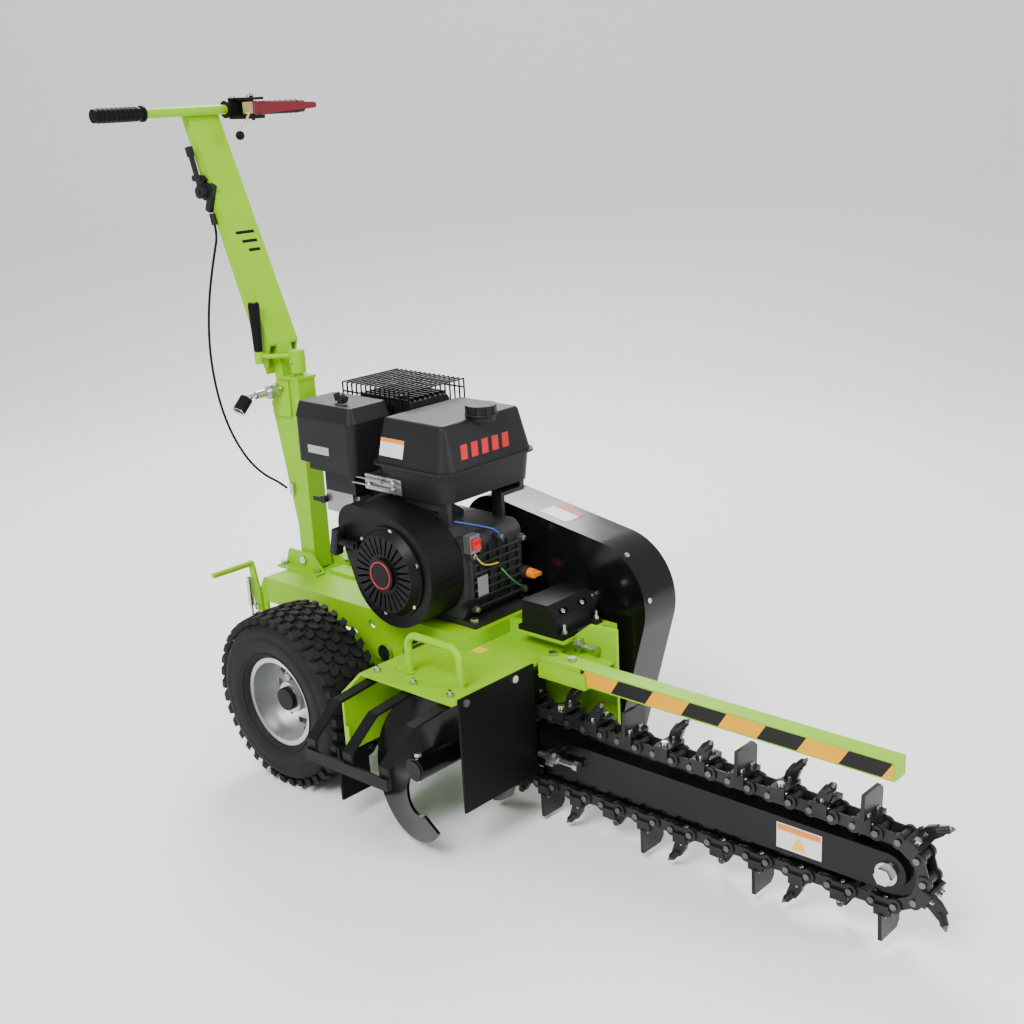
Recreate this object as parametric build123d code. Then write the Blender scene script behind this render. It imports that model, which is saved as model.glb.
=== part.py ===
"""Walk-behind chain trencher, modelled in millimetres.

Every sub-part is built in the axle frame: X forward from the wheel axle, Y to the
machine's left seen from behind the handlebar, Z up from the ground.  write() then moves
each one into the part's frame, whose origin is the centre of the machine's footprint.
"""
from build123d import *
from math import asin, atan2, cos, degrees, hypot, pi, radians, sin
import os

# ---------------------------------------------------------------- driving dimensions
ORIGIN_X = 502.9           # part frame origin, measured in the axle frame
ORIGIN_Y = -87.5
TYRE_R = 205.0
TYRE_W = 158.0
RIM_R = 103.0
TRACK_OUT = 334.0          # outer face of each tyre from the centre plane
AXLE_R = 15.0
BED_Z = 394.0              # top of the engine bed
BED_T = 6.0
BED_X0, BED_X1 = -256.0, 414.0
BED_HALF = 131.0
CRANK_X, CRANK_Z = 254.0, 526.0
JACK_X, JACK_Z = 540.0, 428.0          # countershaft behind the bearing box
HEAD_X, HEAD_Z = 428.0, 166.0          # drive shaft of the auger and the digging chain
PITCH = 44.45              # digging chain
HEAD_TEETH = 12
LINKS = 54
NOSE_Z = 164.0
NOSE_R = 67.0              # radius at which the chain pins pass round the nose
CHAIN_Y = -66.0            # centre plane of the boom and the chain
AUGER_R = 146.0
COLUMN_X = -218.0          # axis of the square column
COLUMN_TOP = 866.0
PIVOT_X, PIVOT_Z = -262.0, 831.0       # mast fold pivot
BAR_X, BAR_Z = -468.0, 1462.0          # handlebar axis
ARM_X, ARM_Z = 164.0, 303.0            # pivot of the wheel arm
DECK_Z = 363.0
FIT = 0.05                 # radial running clearance of a shaft in its bore
GAP = 0.5                  # clearance between bodies that only pass each other

BELT_Y = (150.0, 176.0)    # centre planes of the first-stage belts
FINAL_Y = (198.0, 216.0)   # centre planes of the second-stage belts
ENGINE_PULLEY_R, DRIVEN_PULLEY_R = 52.0, 118.0
SMALL_PULLEY_R, FINAL_PULLEY_R = 42.0, 96.0
BELT_T = 9.0


# ---------------------------------------------------------------- basic forms
def block(x0, x1, y0, y1, z0, z1):
    return Pos((x0 + x1) / 2, (y0 + y1) / 2, (z0 + z1) / 2) * Box(x1 - x0, y1 - y0, z1 - z0)


def rod_x(x0, x1, y, z, r):
    return Pos((x0 + x1) / 2, y, z) * Rot(0, 90, 0) * Cylinder(r, x1 - x0)


def rod_y(x, z, r, y0, y1):
    return Pos(x, (y0 + y1) / 2, z) * Rot(90, 0, 0) * Cylinder(r, y1 - y0)


def rod_z(x, y, r, z0, z1):
    return Pos(x, y, (z0 + z1) / 2) * Cylinder(r, z1 - z0)


def plate_xz(points, y0, y1):
    """A flat plate whose outline lies in the XZ plane, between y0 and y1."""
    face = make_face(Plane.XZ * Polyline(*[(x, z) for x, z in points], close=True))
    return Pos(0, y1, 0) * extrude(face, y1 - y0, dir=(0, -1, 0))


def spread(face_xz, y0, y1):
    """Thicken a face drawn as (x, z) in the XY plane into a body between y0 and y1."""
    return Pos(0, y1, 0) * Rot(90, 0, 0) * extrude(face_xz, y1 - y0)


def wrap(circles):
    """The face, drawn as (x, z), that a tight band round several circles encloses."""
    face = None
    for x, z, r in circles:
        disc = Pos(x, z) * Circle(r)
        face = disc if face is None else face + disc
    for i, (xa, za, ra) in enumerate(circles):
        for xb, zb, rb in circles[i + 1:]:
            run = hypot(xb - xa, zb - za)
            heading = atan2(zb - za, xb - xa)
            lean = asin((ra - rb) / run)
            corners = []
            for x, z, r, side in ((xa, za, ra, 1), (xa, za, ra, -1), (xb, zb, rb, -1), (xb, zb, rb, 1)):
                normal = heading + side * (pi / 2 - lean)
                corners.append((x + r * cos(normal), z + r * sin(normal)))
            face = face + make_face(Polyline(*corners, close=True))
    if len(circles) > 2:
        face = face + make_face(Polyline(*[(x, z) for x, z, r in circles], close=True))
    return face


def ring_y(x, z, r_out, r_in, y0, y1):
    return rod_y(x, z, r_out, y0, y1) - rod_y(x, z, r_in, y0 - 1, y1 + 1)


def hex_z(x, y, z0, across, height):
    return Pos(x, y, z0) * extrude(RegularPolygon(across / 2, 6, major_radius=False), height)


def hex_y(x, z, y0, across, height):
    return Pos(x, y0 + height, z) * Rot(90, 0, 0) * extrude(
        RegularPolygon(across / 2, 6, major_radius=False), height)


def hex_x(x0, y, z, across, height):
    return Pos(x0, y, z) * Rot(0, 90, 0) * extrude(
        RegularPolygon(across / 2, 6, major_radius=False), height)


def round_tube(path_points, radii, r):
    """A round bar that follows straight runs joined by arcs."""
    path = FilletPolyline(*path_points, radius=radii)
    start = path @ 0
    profile = Plane(start, z_dir=path % 0) * Circle(r)
    return sweep(profile, path=path)


def flat_bar(points, width, thick):
    """A flat bar bent in the YZ plane; points are (y, z), the width runs along X from 0."""
    path = Polyline(*[(0, y, z) for y, z in points])
    (ya, za), (yb, zb) = points[0], points[1]
    direction = Vector(0, yb - ya, zb - za).normalized()
    section = Plane((0, ya, za), x_dir=(1, 0, 0), z_dir=direction) * Rectangle(width, thick)
    return sweep(section, path=path, transition=Transition.RIGHT)


def solids_of(shape):
    return list(shape.solids())


parts = {}


def keep(name, *shapes):
    solids = []
    for shape in shapes:
        solids += solids_of(shape)
    parts[name] = solids


# ---------------------------------------------------------------- wheels and their arm
def tyre(y_out, side):
    """side is +1 for the wheel at +Y; y_out is the outer face's distance from the centre."""
    half = TYRE_W / 2
    bead = RIM_R + 1
    with BuildSketch() as section:
        with BuildLine():
            Polyline((-half + 16, bead), (-half, bead + 34), (-half, TYRE_R - 30), (-half + 22, TYRE_R - 5))
            Line((-half + 22, TYRE_R - 5), (-half + 50, TYRE_R))
            Line((-half + 50, TYRE_R), (half - 50, TYRE_R))
            Polyline((half - 50, TYRE_R), (half - 22, TYRE_R - 5), (half, TYRE_R - 30), (half, bead + 34),
                     (half - 16, bead), (half - 26, bead), (half - 12, bead + 34), (half - 12, TYRE_R - 34),
                     (half - 30, TYRE_R - 18), (-half + 30, TYRE_R - 18), (-half + 12, TYRE_R - 34),
                     (-half + 12, bead + 34), (-half + 26, bead), (-half + 16, bead))
        make_face()
    ring = revolve(section.sketch, Axis.X)
    return Pos(0, side * (y_out - half), TYRE_R) * Rot(0, 0, 90) * ring


def rim(side):
    """A dished steel rim with two beads, a drop centre, a disc with slots and the hub."""
    y = TRACK_OUT - TYRE_W / 2
    inner, outer = y - 60, y + 60
    shell = ring_y(0, TYRE_R, RIM_R, RIM_R - 3, inner, outer)
    lips = (ring_y(0, TYRE_R, RIM_R + 0.6, RIM_R - 10, inner - 3, inner)
            + ring_y(0, TYRE_R, RIM_R + 0.6, RIM_R - 10, outer, outer + 3))
    disc = ring_y(0, TYRE_R, RIM_R - 2, 34, y - 6, y + 2)
    slots = [Pos(0, y, TYRE_R) * Rot(0, i * 45, 0) * Pos(70, 0, 0) * Box(14, 30, 34) for i in range(8)]
    for slot in slots:
        disc = disc - slot
    hub = ring_y(0, TYRE_R, 36, AXLE_R + FIT, y - 60, y + 34)
    body = shell + lips + disc + hub
    return body if side > 0 else mirror(body, about=Plane.XZ)


def rim_nuts(side):
    y = TRACK_OUT - TYRE_W / 2 + 2
    nuts = [Pos(46 * cos(radians(a)), 0, 46 * sin(radians(a))) * hex_y(0, TYRE_R, y, 17, 10)
            for a in range(45, 405, 90)]
    cap = rod_y(0, TYRE_R, 26, TRACK_OUT - TYRE_W / 2 + 34, TRACK_OUT - TYRE_W / 2 + 44)
    group = nuts + [cap]
    return [n if side > 0 else mirror(n, about=Plane.XZ) for n in group]


def wheel_arm():
    """Two side plates from the pivot to the axle and back to the jack, with cross tubes."""
    shape = None
    outline = wrap([(ARM_X, ARM_Z, 30), (0, TYRE_R, 34), (COLUMN_X, TYRE_R + 45, 26)])
    for y0 in (-122, 114):
        cheek = spread(outline, y0, y0 + 8)
        shape = cheek if shape is None else shape + cheek
    shape = shape + rod_y(COLUMN_X, TYRE_R + 45, 20, -122, 122)
    shape = shape + ring_y(0, TYRE_R, 26, AXLE_R, -168, 168)
    shape = shape - rod_y(ARM_X, ARM_Z, 12 + FIT, -200, 200)
    return shape


def axle_shaft():
    return rod_y(0, TYRE_R, AXLE_R, -(TRACK_OUT - 46), TRACK_OUT - 46)


# ---------------------------------------------------------------- chassis
def engine_bed():
    """A folded tray: flat top, two deep side flanges and the front and rear webs."""
    shape = block(BED_X0, BED_X1, -BED_HALF, BED_HALF, BED_Z - BED_T, BED_Z)
    for side in (-1, 1):
        outline = [(BED_X0, BED_Z - 1), (BED_X0, BED_Z - 62), (60, BED_Z - 62), (122, ARM_Z - 26),
                   (ARM_X + 42, ARM_Z - 26), (ARM_X + 60, DECK_Z - 6), (BED_X1, DECK_Z - 6), (BED_X1, BED_Z - 1)]
        y0 = -BED_HALF if side < 0 else BED_HALF - 6
        flange = plate_xz(outline, y0, y0 + 6)
        shape = shape + flange
    shape = shape + block(BED_X0, BED_X0 + 6, -BED_HALF, BED_HALF, BED_Z - 62, BED_Z)
    shape = shape + block(BED_X1 - 6, BED_X1, -BED_HALF, BED_HALF, DECK_Z - 6, BED_Z)
    shape = shape - rod_y(ARM_X, ARM_Z, 12, -200, 200)
    shape = shape - rod_y(117, 358, 11, -200, -100) - rod_z(COLUMN_X, 0, 30, 300, 500)
    return shape


def head_frame():
    """The upright plates that carry the drive shaft, the bearing box and the bar bracket."""
    outer = plate_xz([(415, 398), (632, 398), (632, 190), (560, 96), (380, 96), (380, 340), (415, 340)], 100, 108)
    inner = plate_xz([(415, 398), (600, 398), (640, 430), (712, 434), (712, 214), (600, 122), (540, 96),
                      (380, 96), (380, 340), (415, 340)], 4, 12)
    shape = outer + inner + block(474, 606, -37, 108, 391, 398)
    for y0, y1 in ((-10, 26), (86, 112)):
        shape = shape + rod_y(HEAD_X, HEAD_Z, 38, y0, y1)
    return shape - rod_y(HEAD_X, HEAD_Z, 20 + FIT, -40, 130)


def bearing_box():
    """The black bearing box of the countershaft, with feet and a chamfered cover."""
    y0, y1 = -36, 96
    body = plate_xz([(478, 398), (602, 398), (602, 409), (586, 409), (583, 440), (562, 468),
                     (492, 468), (489, 409), (478, 409)], y0, y1)
    body = body - rod_y(JACK_X, JACK_Z, 14 + FIT, y0 - 1, y1 + 1)
    body = body - block(599, 641, 3.9, 12.1, 397, 420)
    for y in (0, 62):
        body = body - Pos(574, y, 448) * Rot(0, 40, 0) * Box(12, 26, 20)
    return body


DECK_X0, DECK_X1, DECK_Y0 = 311.0, 576.0, -341.0
WALL_X, WALL_Z0, WALL_Z1 = 245.0, 164.0, 300.0


def auger_deck():
    """The guard over the auger: top plate with a shallow recess, sloped edge and side plate."""
    top = block(DECK_X0, DECK_X1, DECK_Y0, 3.5, DECK_Z - 6, DECK_Z)
    recess = Pos((DECK_X0 + DECK_X1) / 2, -215, DECK_Z) * extrude(RectangleRounded(190, 150, 24), 2, dir=(0, 0, -1))
    top = top - recess - block(BED_X0, BED_X1 + 0.5, -BED_HALF - 0.5, BED_HALF, DECK_Z - 20, DECK_Z + 1)
    y1 = -BED_HALF - 1
    slope = plate_xz([(DECK_X0, DECK_Z), (WALL_X, WALL_Z1), (WALL_X, WALL_Z1 - 9), (WALL_X + 5, WALL_Z1 - 4),
                      (DECK_X0 + 2, DECK_Z - 6)], DECK_Y0, y1)
    wall = block(WALL_X, WALL_X + 5, DECK_Y0, y1, WALL_Z0, WALL_Z1 - 3)
    lip = block(WALL_X, WALL_X + 14, DECK_Y0, DECK_Y0 + 4, WALL_Z0, WALL_Z0 + 60)
    return top + slope + wall + lip


def deck_handle():
    feet = (394.0, 540.0)
    y, top = -278.0, 448.0
    return round_tube([(feet[0], y, DECK_Z), (feet[0], y, top), (feet[1], y, top), (feet[1], y, DECK_Z)],
                      [26, 26], 8)


def front_flap():
    return block(DECK_X1 + 0.2, DECK_X1 + 5, -326, -106, 118, DECK_Z + 4)


def side_flap():
    return block(WALL_X - 6, WALL_X - 0.2, -361, -281, 56, 180)


GUARD_X = (338.0, 444.0, 548.0)


def guard_bars():
    """Three bent flat bars in front of the auger, with the bar that ties their ends."""
    shape = None
    for x in GUARD_X:
        bar = Pos(x, 0, 0) * flat_bar([(-300, DECK_Z - 9.5), (-428, DECK_Z - 23), (-500, 284), (-500, 240)], 25, 6)
        shape = bar if shape is None else shape + bar
    return shape + block(GUARD_X[0] - 12, GUARD_X[-1] + 12, -509, -503, 240, 265)


def arm_pivot_pin():
    pin = rod_y(ARM_X, ARM_Z, 12, -138, 138)
    return pin + rod_y(ARM_X, ARM_Z, 19, -144, -138) + rod_y(ARM_X, ARM_Z, 19, 138, 144)


def column_bracket():
    """Two trapezoid plates and foot strips that bolt the column to the bed."""
    shape = None
    for y0 in (-38, 32):
        cheek = plate_xz([(-292, BED_Z), (-274, BED_Z + 44), (-190, BED_Z + 44), (-148, BED_Z)], y0, y0 + 6)
        cheek = cheek - rod_y(COLUMN_X, BED_Z + 26, 6, -40, -30)
        shape = cheek if shape is None else shape + cheek
    shape = shape + block(-292, -148, -64, -37, BED_Z, BED_Z + 6) + block(-292, -148, 37, 64, BED_Z, BED_Z + 6)
    rib = plate_xz([(-184, BED_Z), (-184, BED_Z + 104), (-92, BED_Z)], 66, 72)
    clip = block(-150, -60, -20, 26, BED_Z, BED_Z + 8)
    return shape + rib + clip + block(-184, -150, 60, 72, BED_Z, BED_Z + 6)


def column():
    """Square tube with its tapered rear gusset, cap and the two ears of the mast pivot."""
    x0, x1 = COLUMN_X - 25, COLUMN_X + 25
    tube = block(x0, x1, -25, 25, BED_Z + 2, COLUMN_TOP) - block(x0 + 4, x1 - 4, -21, 21, BED_Z, COLUMN_TOP - 6)
    gusset = (plate_xz([(x0, 500), (x0, 800), (x0 - 56, 800)], -25, 25)
              - plate_xz([(x0 - 1, 520), (x0 - 1, 794), (x0 - 50, 794)], -21, 21))
    shape = tube + gusset
    for y0 in (-31, 25):
        ear = plate_xz([(x0 + 20, 770), (x0 + 20, 856), (PIVOT_X, 853), (PIVOT_X - 20, 842),
                        (PIVOT_X - 24, 826), (x0 - 44, 770)], y0, y0 + 6)
        shape = shape + ear
    cap = block(x0 - 3, x1 + 3, -28, 28, COLUMN_TOP - 6, COLUMN_TOP)
    shape = shape + cap
    shape = shape - rod_y(PIVOT_X, PIVOT_Z, 9 + FIT, -40, 40) - rod_z(COLUMN_X, 0, 10 + FIT, COLUMN_TOP - 20, 900)
    return shape


def column_bolt():
    return rod_y(COLUMN_X, BED_Z + 26, 6, -38, -25) + hex_y(COLUMN_X, BED_Z + 26, -45, 18, 7)


# ---------------------------------------------------------------- jack and crank
def jack_tube():
    """The inner square tube that the lead screw pushes out of the column's foot."""
    x0, x1 = COLUMN_X - 20, COLUMN_X + 20
    tube = block(x0, x1, -20, 20, 282, 700) - block(x0 + 4, x1 - 4, -16, 16, 290, 701)
    return tube


def lead_screw():
    return rod_z(COLUMN_X, 0, 10, 560, COLUMN_TOP + 8)


def crank_arm():
    hub = rod_z(COLUMN_X, 0, 18, COLUMN_TOP + 8, 926) + rod_y(COLUMN_X, 900, 4, -22, 22)
    ex, ey = COLUMN_X - 62, -62
    arm = round_tube([(COLUMN_X - 10, -10, 914), (ex + 14, ey + 14, 914), (ex, ey, 918)], [40], 6)
    boss = rod_z(ex, ey, 10, 910, 926)
    pin = rod_z(ex, ey, 5, 926, 1040)
    nut = hex_z(ex, ey, 898, 17, 12)
    return hub + arm + boss + pin + nut


def crank_grip():
    ex, ey = COLUMN_X - 62, -62
    grip = Pos(ex, ey, 928 + 54) * Cone(10, 13.5, 108) + rod_z(ex, ey, 12, 1036, 1040)
    return grip - rod_z(ex, ey, 5 + FIT, 900, 1042)


# ---------------------------------------------------------------- mast
def mast():
    """Rectangular mast, tapered in depth, mitred behind the column, with its pivot tongue."""
    outline = [(-475, 1455), (-262.5, 943), (-284, 868), (-503, 1455)]
    inside = [(-478, 1449), (-267, 942), (-262, 930), (-276, 860), (-285, 884), (-499, 1449)]
    body = plate_xz(outline, -42, 42) - plate_xz(inside, -38, 38)
    tongue = plate_xz([(-276, 958), (-263, 946), (PIVOT_X + 15, PIVOT_Z + 8), (PIVOT_X + 15, PIVOT_Z - 8),
                       (PIVOT_X + 6, PIVOT_Z - 16), (PIVOT_X - 8, PIVOT_Z - 16), (PIVOT_X - 17, PIVOT_Z),
                       (-281, 872), (-296, 912)], -20, 20)
    tongue = tongue - rod_y(PIVOT_X, PIVOT_Z, 9 + FIT, -30, 30)
    return body + tongue


def handlebar():
    return rod_y(BAR_X, BAR_Z, 11, -288, 286)


def grip(y0, y1, flange_y):
    """Moulded rubber grip with ribs and an end flange."""
    body = rod_y(BAR_X, BAR_Z, 15, y0, y1)
    body = body + rod_y(BAR_X, BAR_Z, 18, flange_y - 3, flange_y + 3)
    count = 9
    for i in range(count):
        y = y0 + 14 + i * (y1 - y0 - 34) / (count - 1)
        body = body + rod_y(BAR_X, BAR_Z, 16.2, y - 3, y + 3)
    low, high = (-288, y1 + 1) if y0 < 0 else (y0 - 1, 286)
    return body - rod_y(BAR_X, BAR_Z, 11, low, high)


LEVER_X, LEVER_Y, LEVER_Z = BAR_X + 55, 96.0, BAR_Z + 2.0


def lever_bracket():
    """Clamp round the handlebar with the two cheeks that hold the clutch lever's pin."""
    clamp = ring_y(BAR_X, BAR_Z, 20, 11, 58, 122)
    arm = block(BAR_X + 14, LEVER_X + 16, 58, 118, BAR_Z - 22, BAR_Z - 14)
    top = block(BAR_X + 14, LEVER_X + 16, 70, 118, BAR_Z + 20, BAR_Z + 26)
    web = block(BAR_X + 14, BAR_X + 22, 58, 118, BAR_Z - 22, BAR_Z + 26)
    pin = rod_z(LEVER_X, LEVER_Y, 4, BAR_Z - 26, BAR_Z + 30)
    return (clamp + arm + top + web - rod_y(BAR_X, BAR_Z, 11, 40, 130)) + pin


def clutch_lever():
    """Red hand lever in front of the right grip, with the eye of its pin."""
    with BuildSketch() as face:
        with BuildLine():
            Polyline((0, -14), (16, -15), (34, -13), (170, -7))
            ThreePointArc((170, -7), (177, 0), (170, 7))
            Polyline((170, 7), (34, 13), (16, 15), (0, 14), (0, -14))
        make_face()
    blade = extrude(face.sketch, 8)
    lever = Pos(LEVER_X + 2, LEVER_Y + 12, LEVER_Z) * Rot(0, 0, 90) * Rot(90, 0, 0) * Pos(0, 0, -4) * blade
    eye = rod_z(LEVER_X, LEVER_Y, 11, BAR_Z - 12, BAR_Z + 18) + block(
        LEVER_X - 4, LEVER_X + 8, LEVER_Y, LEVER_Y + 20, BAR_Z - 10, BAR_Z + 14)
    return (lever + eye) - rod_z(LEVER_X, LEVER_Y, 4 + FIT, BAR_Z - 40, BAR_Z + 40)


LATCH_Y, LATCH_Z = 66.0, BAR_Z - 2.0


def lever_latch():
    """Plated pawl with a bent rod that ends in a ball knob."""
    x = LEVER_X - 6
    pawl = block(x + 24, x + 30, LATCH_Y - 12, LATCH_Y + 12, BAR_Z - 10, BAR_Z + 16)
    hub = rod_x(x + 22.6, x + 34, LATCH_Y, LATCH_Z + 4, 8)
    stem = round_tube([(x + 32, LATCH_Y, LATCH_Z - 4), (x + 34, LATCH_Y - 14, LATCH_Z - 24),
                       (x + 34, LATCH_Y - 32, LATCH_Z - 50)], [14], 3)
    knob = Pos(x + 34, LATCH_Y - 35, LATCH_Z - 55) * Sphere(10)
    return pawl + hub + stem + knob


THROTTLE_X, THROTTLE_Z = -428.0, 1284.0


def throttle_clamp():
    """Friction housing of the throttle lever on the mast's side, with the cable ferrule."""
    disc = rod_y(THROTTLE_X, THROTTLE_Z, 20, -54, -42)
    foot = Pos(THROTTLE_X + 14, -48, THROTTLE_Z - 14) * Rot(0, 22, 0) * Box(16, 12, 66)
    screw = hex_y(THROTTLE_X - 28, THROTTLE_Z + 30, -60, 14, 18)
    strap = Pos(THROTTLE_X - 16, -48, THROTTLE_Z + 16) * Rot(0, 42, 0) * Box(14, 8, 44)
    pin = rod_y(THROTTLE_X, THROTTLE_Z, 5, -72, -53)
    return (disc + foot + strap + pin), screw


def throttle_ferrule():
    top = Pos(THROTTLE_X + 16, -49.6, THROTTLE_Z - 62) * Rot(0, -14, 0) * Cylinder(7, 26)
    return top


def throttle_lever():
    eye = rod_y(THROTTLE_X, THROTTLE_Z, 15, -70, -54.5)
    blade = Pos(THROTTLE_X - 13, -63, THROTTLE_Z + 46) * Rot(0, -16, 0) * Box(9, 9, 84)
    tip = Pos(THROTTLE_X - 26, -63, THROTTLE_Z + 90) * Rot(0, -16, 0) * Box(15, 12, 22)
    return (eye + blade + tip) - rod_y(THROTTLE_X, THROTTLE_Z, 5 + FIT, -80, -40)


def mast_clamp():
    """Clamp spindle through the mast pivot, with its collar, cross rod and fluted knob."""
    spindle = rod_y(PIVOT_X, PIVOT_Z, 9, -96, 34) + rod_y(PIVOT_X, PIVOT_Z, 15, -62, -31.4)
    nut = rod_y(PIVOT_X, PIVOT_Z, 14, 31.4, 42)
    rod = round_tube([(PIVOT_X, -92, PIVOT_Z), (PIVOT_X - 18, -98, PIVOT_Z - 6),
                      (PIVOT_X - 24, -112, PIVOT_Z - 16)], [8], 6)
    core = Cylinder(15, 40)
    for i in range(18):
        core = core - Rot(0, 0, i * 20) * Pos(16, 0, 0) * Cylinder(1.8, 41)
    knob = Plane((PIVOT_X - 25, -118, PIVOT_Z - 22), z_dir=(0.1, -0.75, -0.65)) * core
    return spindle + nut + rod, knob


# ---------------------------------------------------------------- brake lever
BRAKE_X, BRAKE_Z = -284.0, 316.0


def brake_lever():
    blade = plate_xz([(BRAKE_X - 12, BRAKE_Z - 12), (BRAKE_X + 12, BRAKE_Z - 12), (BRAKE_X + 10, BRAKE_Z + 40),
                      (BRAKE_X - 8, BRAKE_Z + 112), (BRAKE_X - 24, BRAKE_Z + 112)], -138, -132)
    blade = blade - rod_y(BRAKE_X, BRAKE_Z, 6 + FIT, -150, -120)
    foot_rod = rod_y(BRAKE_X - 16, BRAKE_Z + 106, 7, -246, -132)
    return blade + foot_rod


def brake_lug():
    return plate_xz([(-257, 392), (-257, 300), (BRAKE_X - 14, 300), (BRAKE_X - 14, 332), (-262, 392)], -131, -125)


def brake_pin():
    """Pivot pin of the brake lever, with its head and the spring's lower anchor."""
    pin = rod_y(BRAKE_X, BRAKE_Z, 6, -146, -131) + hex_y(BRAKE_X, BRAKE_Z, -145, 16, 6)
    anchor = rod_z(BRAKE_X - 8, -152, 3, 294, 322) + rod_y(BRAKE_X - 8, 297, 3, -155, -131)
    return pin + anchor


def brake_spring():
    """Close-wound extension spring, drawn as a tube with its hook loops left out."""
    x, y = BRAKE_X - 8, -152
    return rod_z(x, y, 7, 322, 392) - rod_z(x, y, 4.6, 321, 393)


# ---------------------------------------------------------------- power drive
def v_belts():
    loops = []
    for centres, planes in ((((CRANK_X, CRANK_Z, ENGINE_PULLEY_R), (JACK_X, JACK_Z, DRIVEN_PULLEY_R)), BELT_Y),
                            (((JACK_X, JACK_Z, SMALL_PULLEY_R), (HEAD_X, HEAD_Z, FINAL_PULLEY_R)), FINAL_Y)):
        outer = wrap([(x, z, r) for x, z, r in centres])
        inner = wrap([(x, z, r - BELT_T) for x, z, r in centres])
        for y in planes:
            loops.append(spread(outer - inner, y - 6, y + 6))
    return loops


def pulley(x, z, r, planes, bore):
    """A belt pulley: one groove for each belt, its floor just clear of the belt."""
    y0, y1 = planes[0] - 10, planes[-1] + 10
    body = rod_y(x, z, r + 3, y0, y1)
    for y in planes:
        body = body - (rod_y(x, z, r + 4, y - 6.5, y + 6.5) - rod_y(x, z, r - BELT_T - GAP, y - 7, y + 7))
    return body - rod_y(x, z, bore, y0 - 1, y1 + 1)


def engine_pulley():
    body = pulley(CRANK_X, CRANK_Z, ENGINE_PULLEY_R, BELT_Y, 12.5)
    shaft = rod_y(CRANK_X, CRANK_Z, 12.5, 106, 192)
    return body + shaft


def jack_shaft():
    return rod_y(JACK_X, JACK_Z, 14, -34, 230)


def jack_pulleys():
    return (pulley(JACK_X, JACK_Z, DRIVEN_PULLEY_R, BELT_Y, 14)
            + pulley(JACK_X, JACK_Z, SMALL_PULLEY_R, FINAL_Y, 14))


def final_pulley():
    return pulley(HEAD_X, HEAD_Z, FINAL_PULLEY_R, FINAL_Y, 20)


IDLER_PIVOT_X, IDLER_PIVOT_Z = 262.0, 350.0
IDLER_X, IDLER_Z = 335.0, 375.5


def idler_arm():
    """Swing arm of the belt tensioner, with the pin of its roller."""
    arm = spread(wrap([(IDLER_PIVOT_X, IDLER_PIVOT_Z, 16), (IDLER_X, IDLER_Z, 14)]), 186, 192)
    pin = rod_y(IDLER_X, IDLER_Z, 8, 140, 186)
    return (arm + pin) - rod_y(IDLER_PIVOT_X, IDLER_PIVOT_Z, 8 + FIT, 180, 200)


def idler_roller():
    return rod_y(IDLER_X, IDLER_Z, 24, 142, 184) - rod_y(IDLER_X, IDLER_Z, 8 + FIT, 141, 186)


COVER_Y0, COVER_Y1 = 135.0, 245.0
COVER_CIRCLES = [(CRANK_X, CRANK_Z, 88.0), (548.0, 424.0, 140.0), (552.0, 106.0, 50.0), (338.0, 106.0, 50.0)]


def belt_cover():
    """Deep pressed cover over the belts, open towards the engine."""
    outer = spread(wrap(COVER_CIRCLES), COVER_Y0 + 4.3, COVER_Y1)
    inner = spread(wrap([(x, z, r - 4) for x, z, r in COVER_CIRCLES]), COVER_Y0, COVER_Y1 - 4)
    return outer - inner


def cover_backplate():
    """Flat plate that closes the cover, with the holes of the three shafts."""
    plate = spread(wrap(COVER_CIRCLES), COVER_Y0, COVER_Y0 + 4)
    for x, z, r in ((CRANK_X, CRANK_Z, 16), (JACK_X, JACK_Z, 18), (HEAD_X, HEAD_Z, 24)):
        plate = plate - rod_y(x, z, r, 120, 150)
    spacers = [rod_y(470, 380, 10, 108, COVER_Y0), rod_y(600, 250, 10, 108, COVER_Y0),
               rod_y(396, 112, 10, 108, COVER_Y0)]
    for spacer in spacers:
        plate = plate + spacer
    return plate + (rod_y(IDLER_PIVOT_X, IDLER_PIVOT_Z, 8, COVER_Y0 + 4, 196))


def drive_shaft():
    return rod_y(HEAD_X, HEAD_Z, 20, -318, 226)


def head_sprocket():
    """Twelve-tooth sprocket whose roller seats match the digging chain."""
    pin_r = PITCH / 2 / sin(pi / HEAD_TEETH)
    wheel = Circle(pin_r + 9)
    for i in range(HEAD_TEETH):
        angle = radians(seat_angle() + i * 360 / HEAD_TEETH)
        seat = wrap([(pin_r * cos(angle), pin_r * sin(angle), ROLLER_R + 0.5),
                     ((pin_r + 16) * cos(angle), (pin_r + 16) * sin(angle), ROLLER_R + 8)])
        wheel = wheel - seat
    body = Pos(HEAD_X, 0, HEAD_Z) * spread(wheel, CHAIN_Y - 8, CHAIN_Y + 8)
    hub = rod_y(HEAD_X, HEAD_Z, 34, CHAIN_Y - 24, CHAIN_Y + 24)
    return (body + hub) - rod_y(HEAD_X, HEAD_Z, 20, -100, 0)


def triangle_solid(rings):
    """Closed solid whose sections are quadrilaterals, faced with triangles."""
    faces = []

    def tri(a, b, c):
        faces.append(Face(Wire([Edge.make_line(a, b), Edge.make_line(b, c), Edge.make_line(c, a)])))

    for near, far in zip(rings, rings[1:]):
        for i in range(4):
            j = (i + 1) % 4
            tri(near[i], near[j], far[j])
            tri(near[i], far[j], far[i])
    for ring in (rings[0], rings[-1]):
        tri(ring[0], ring[1], ring[2])
        tri(ring[0], ring[2], ring[3])
    return Solid(Shell(faces))


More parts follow.
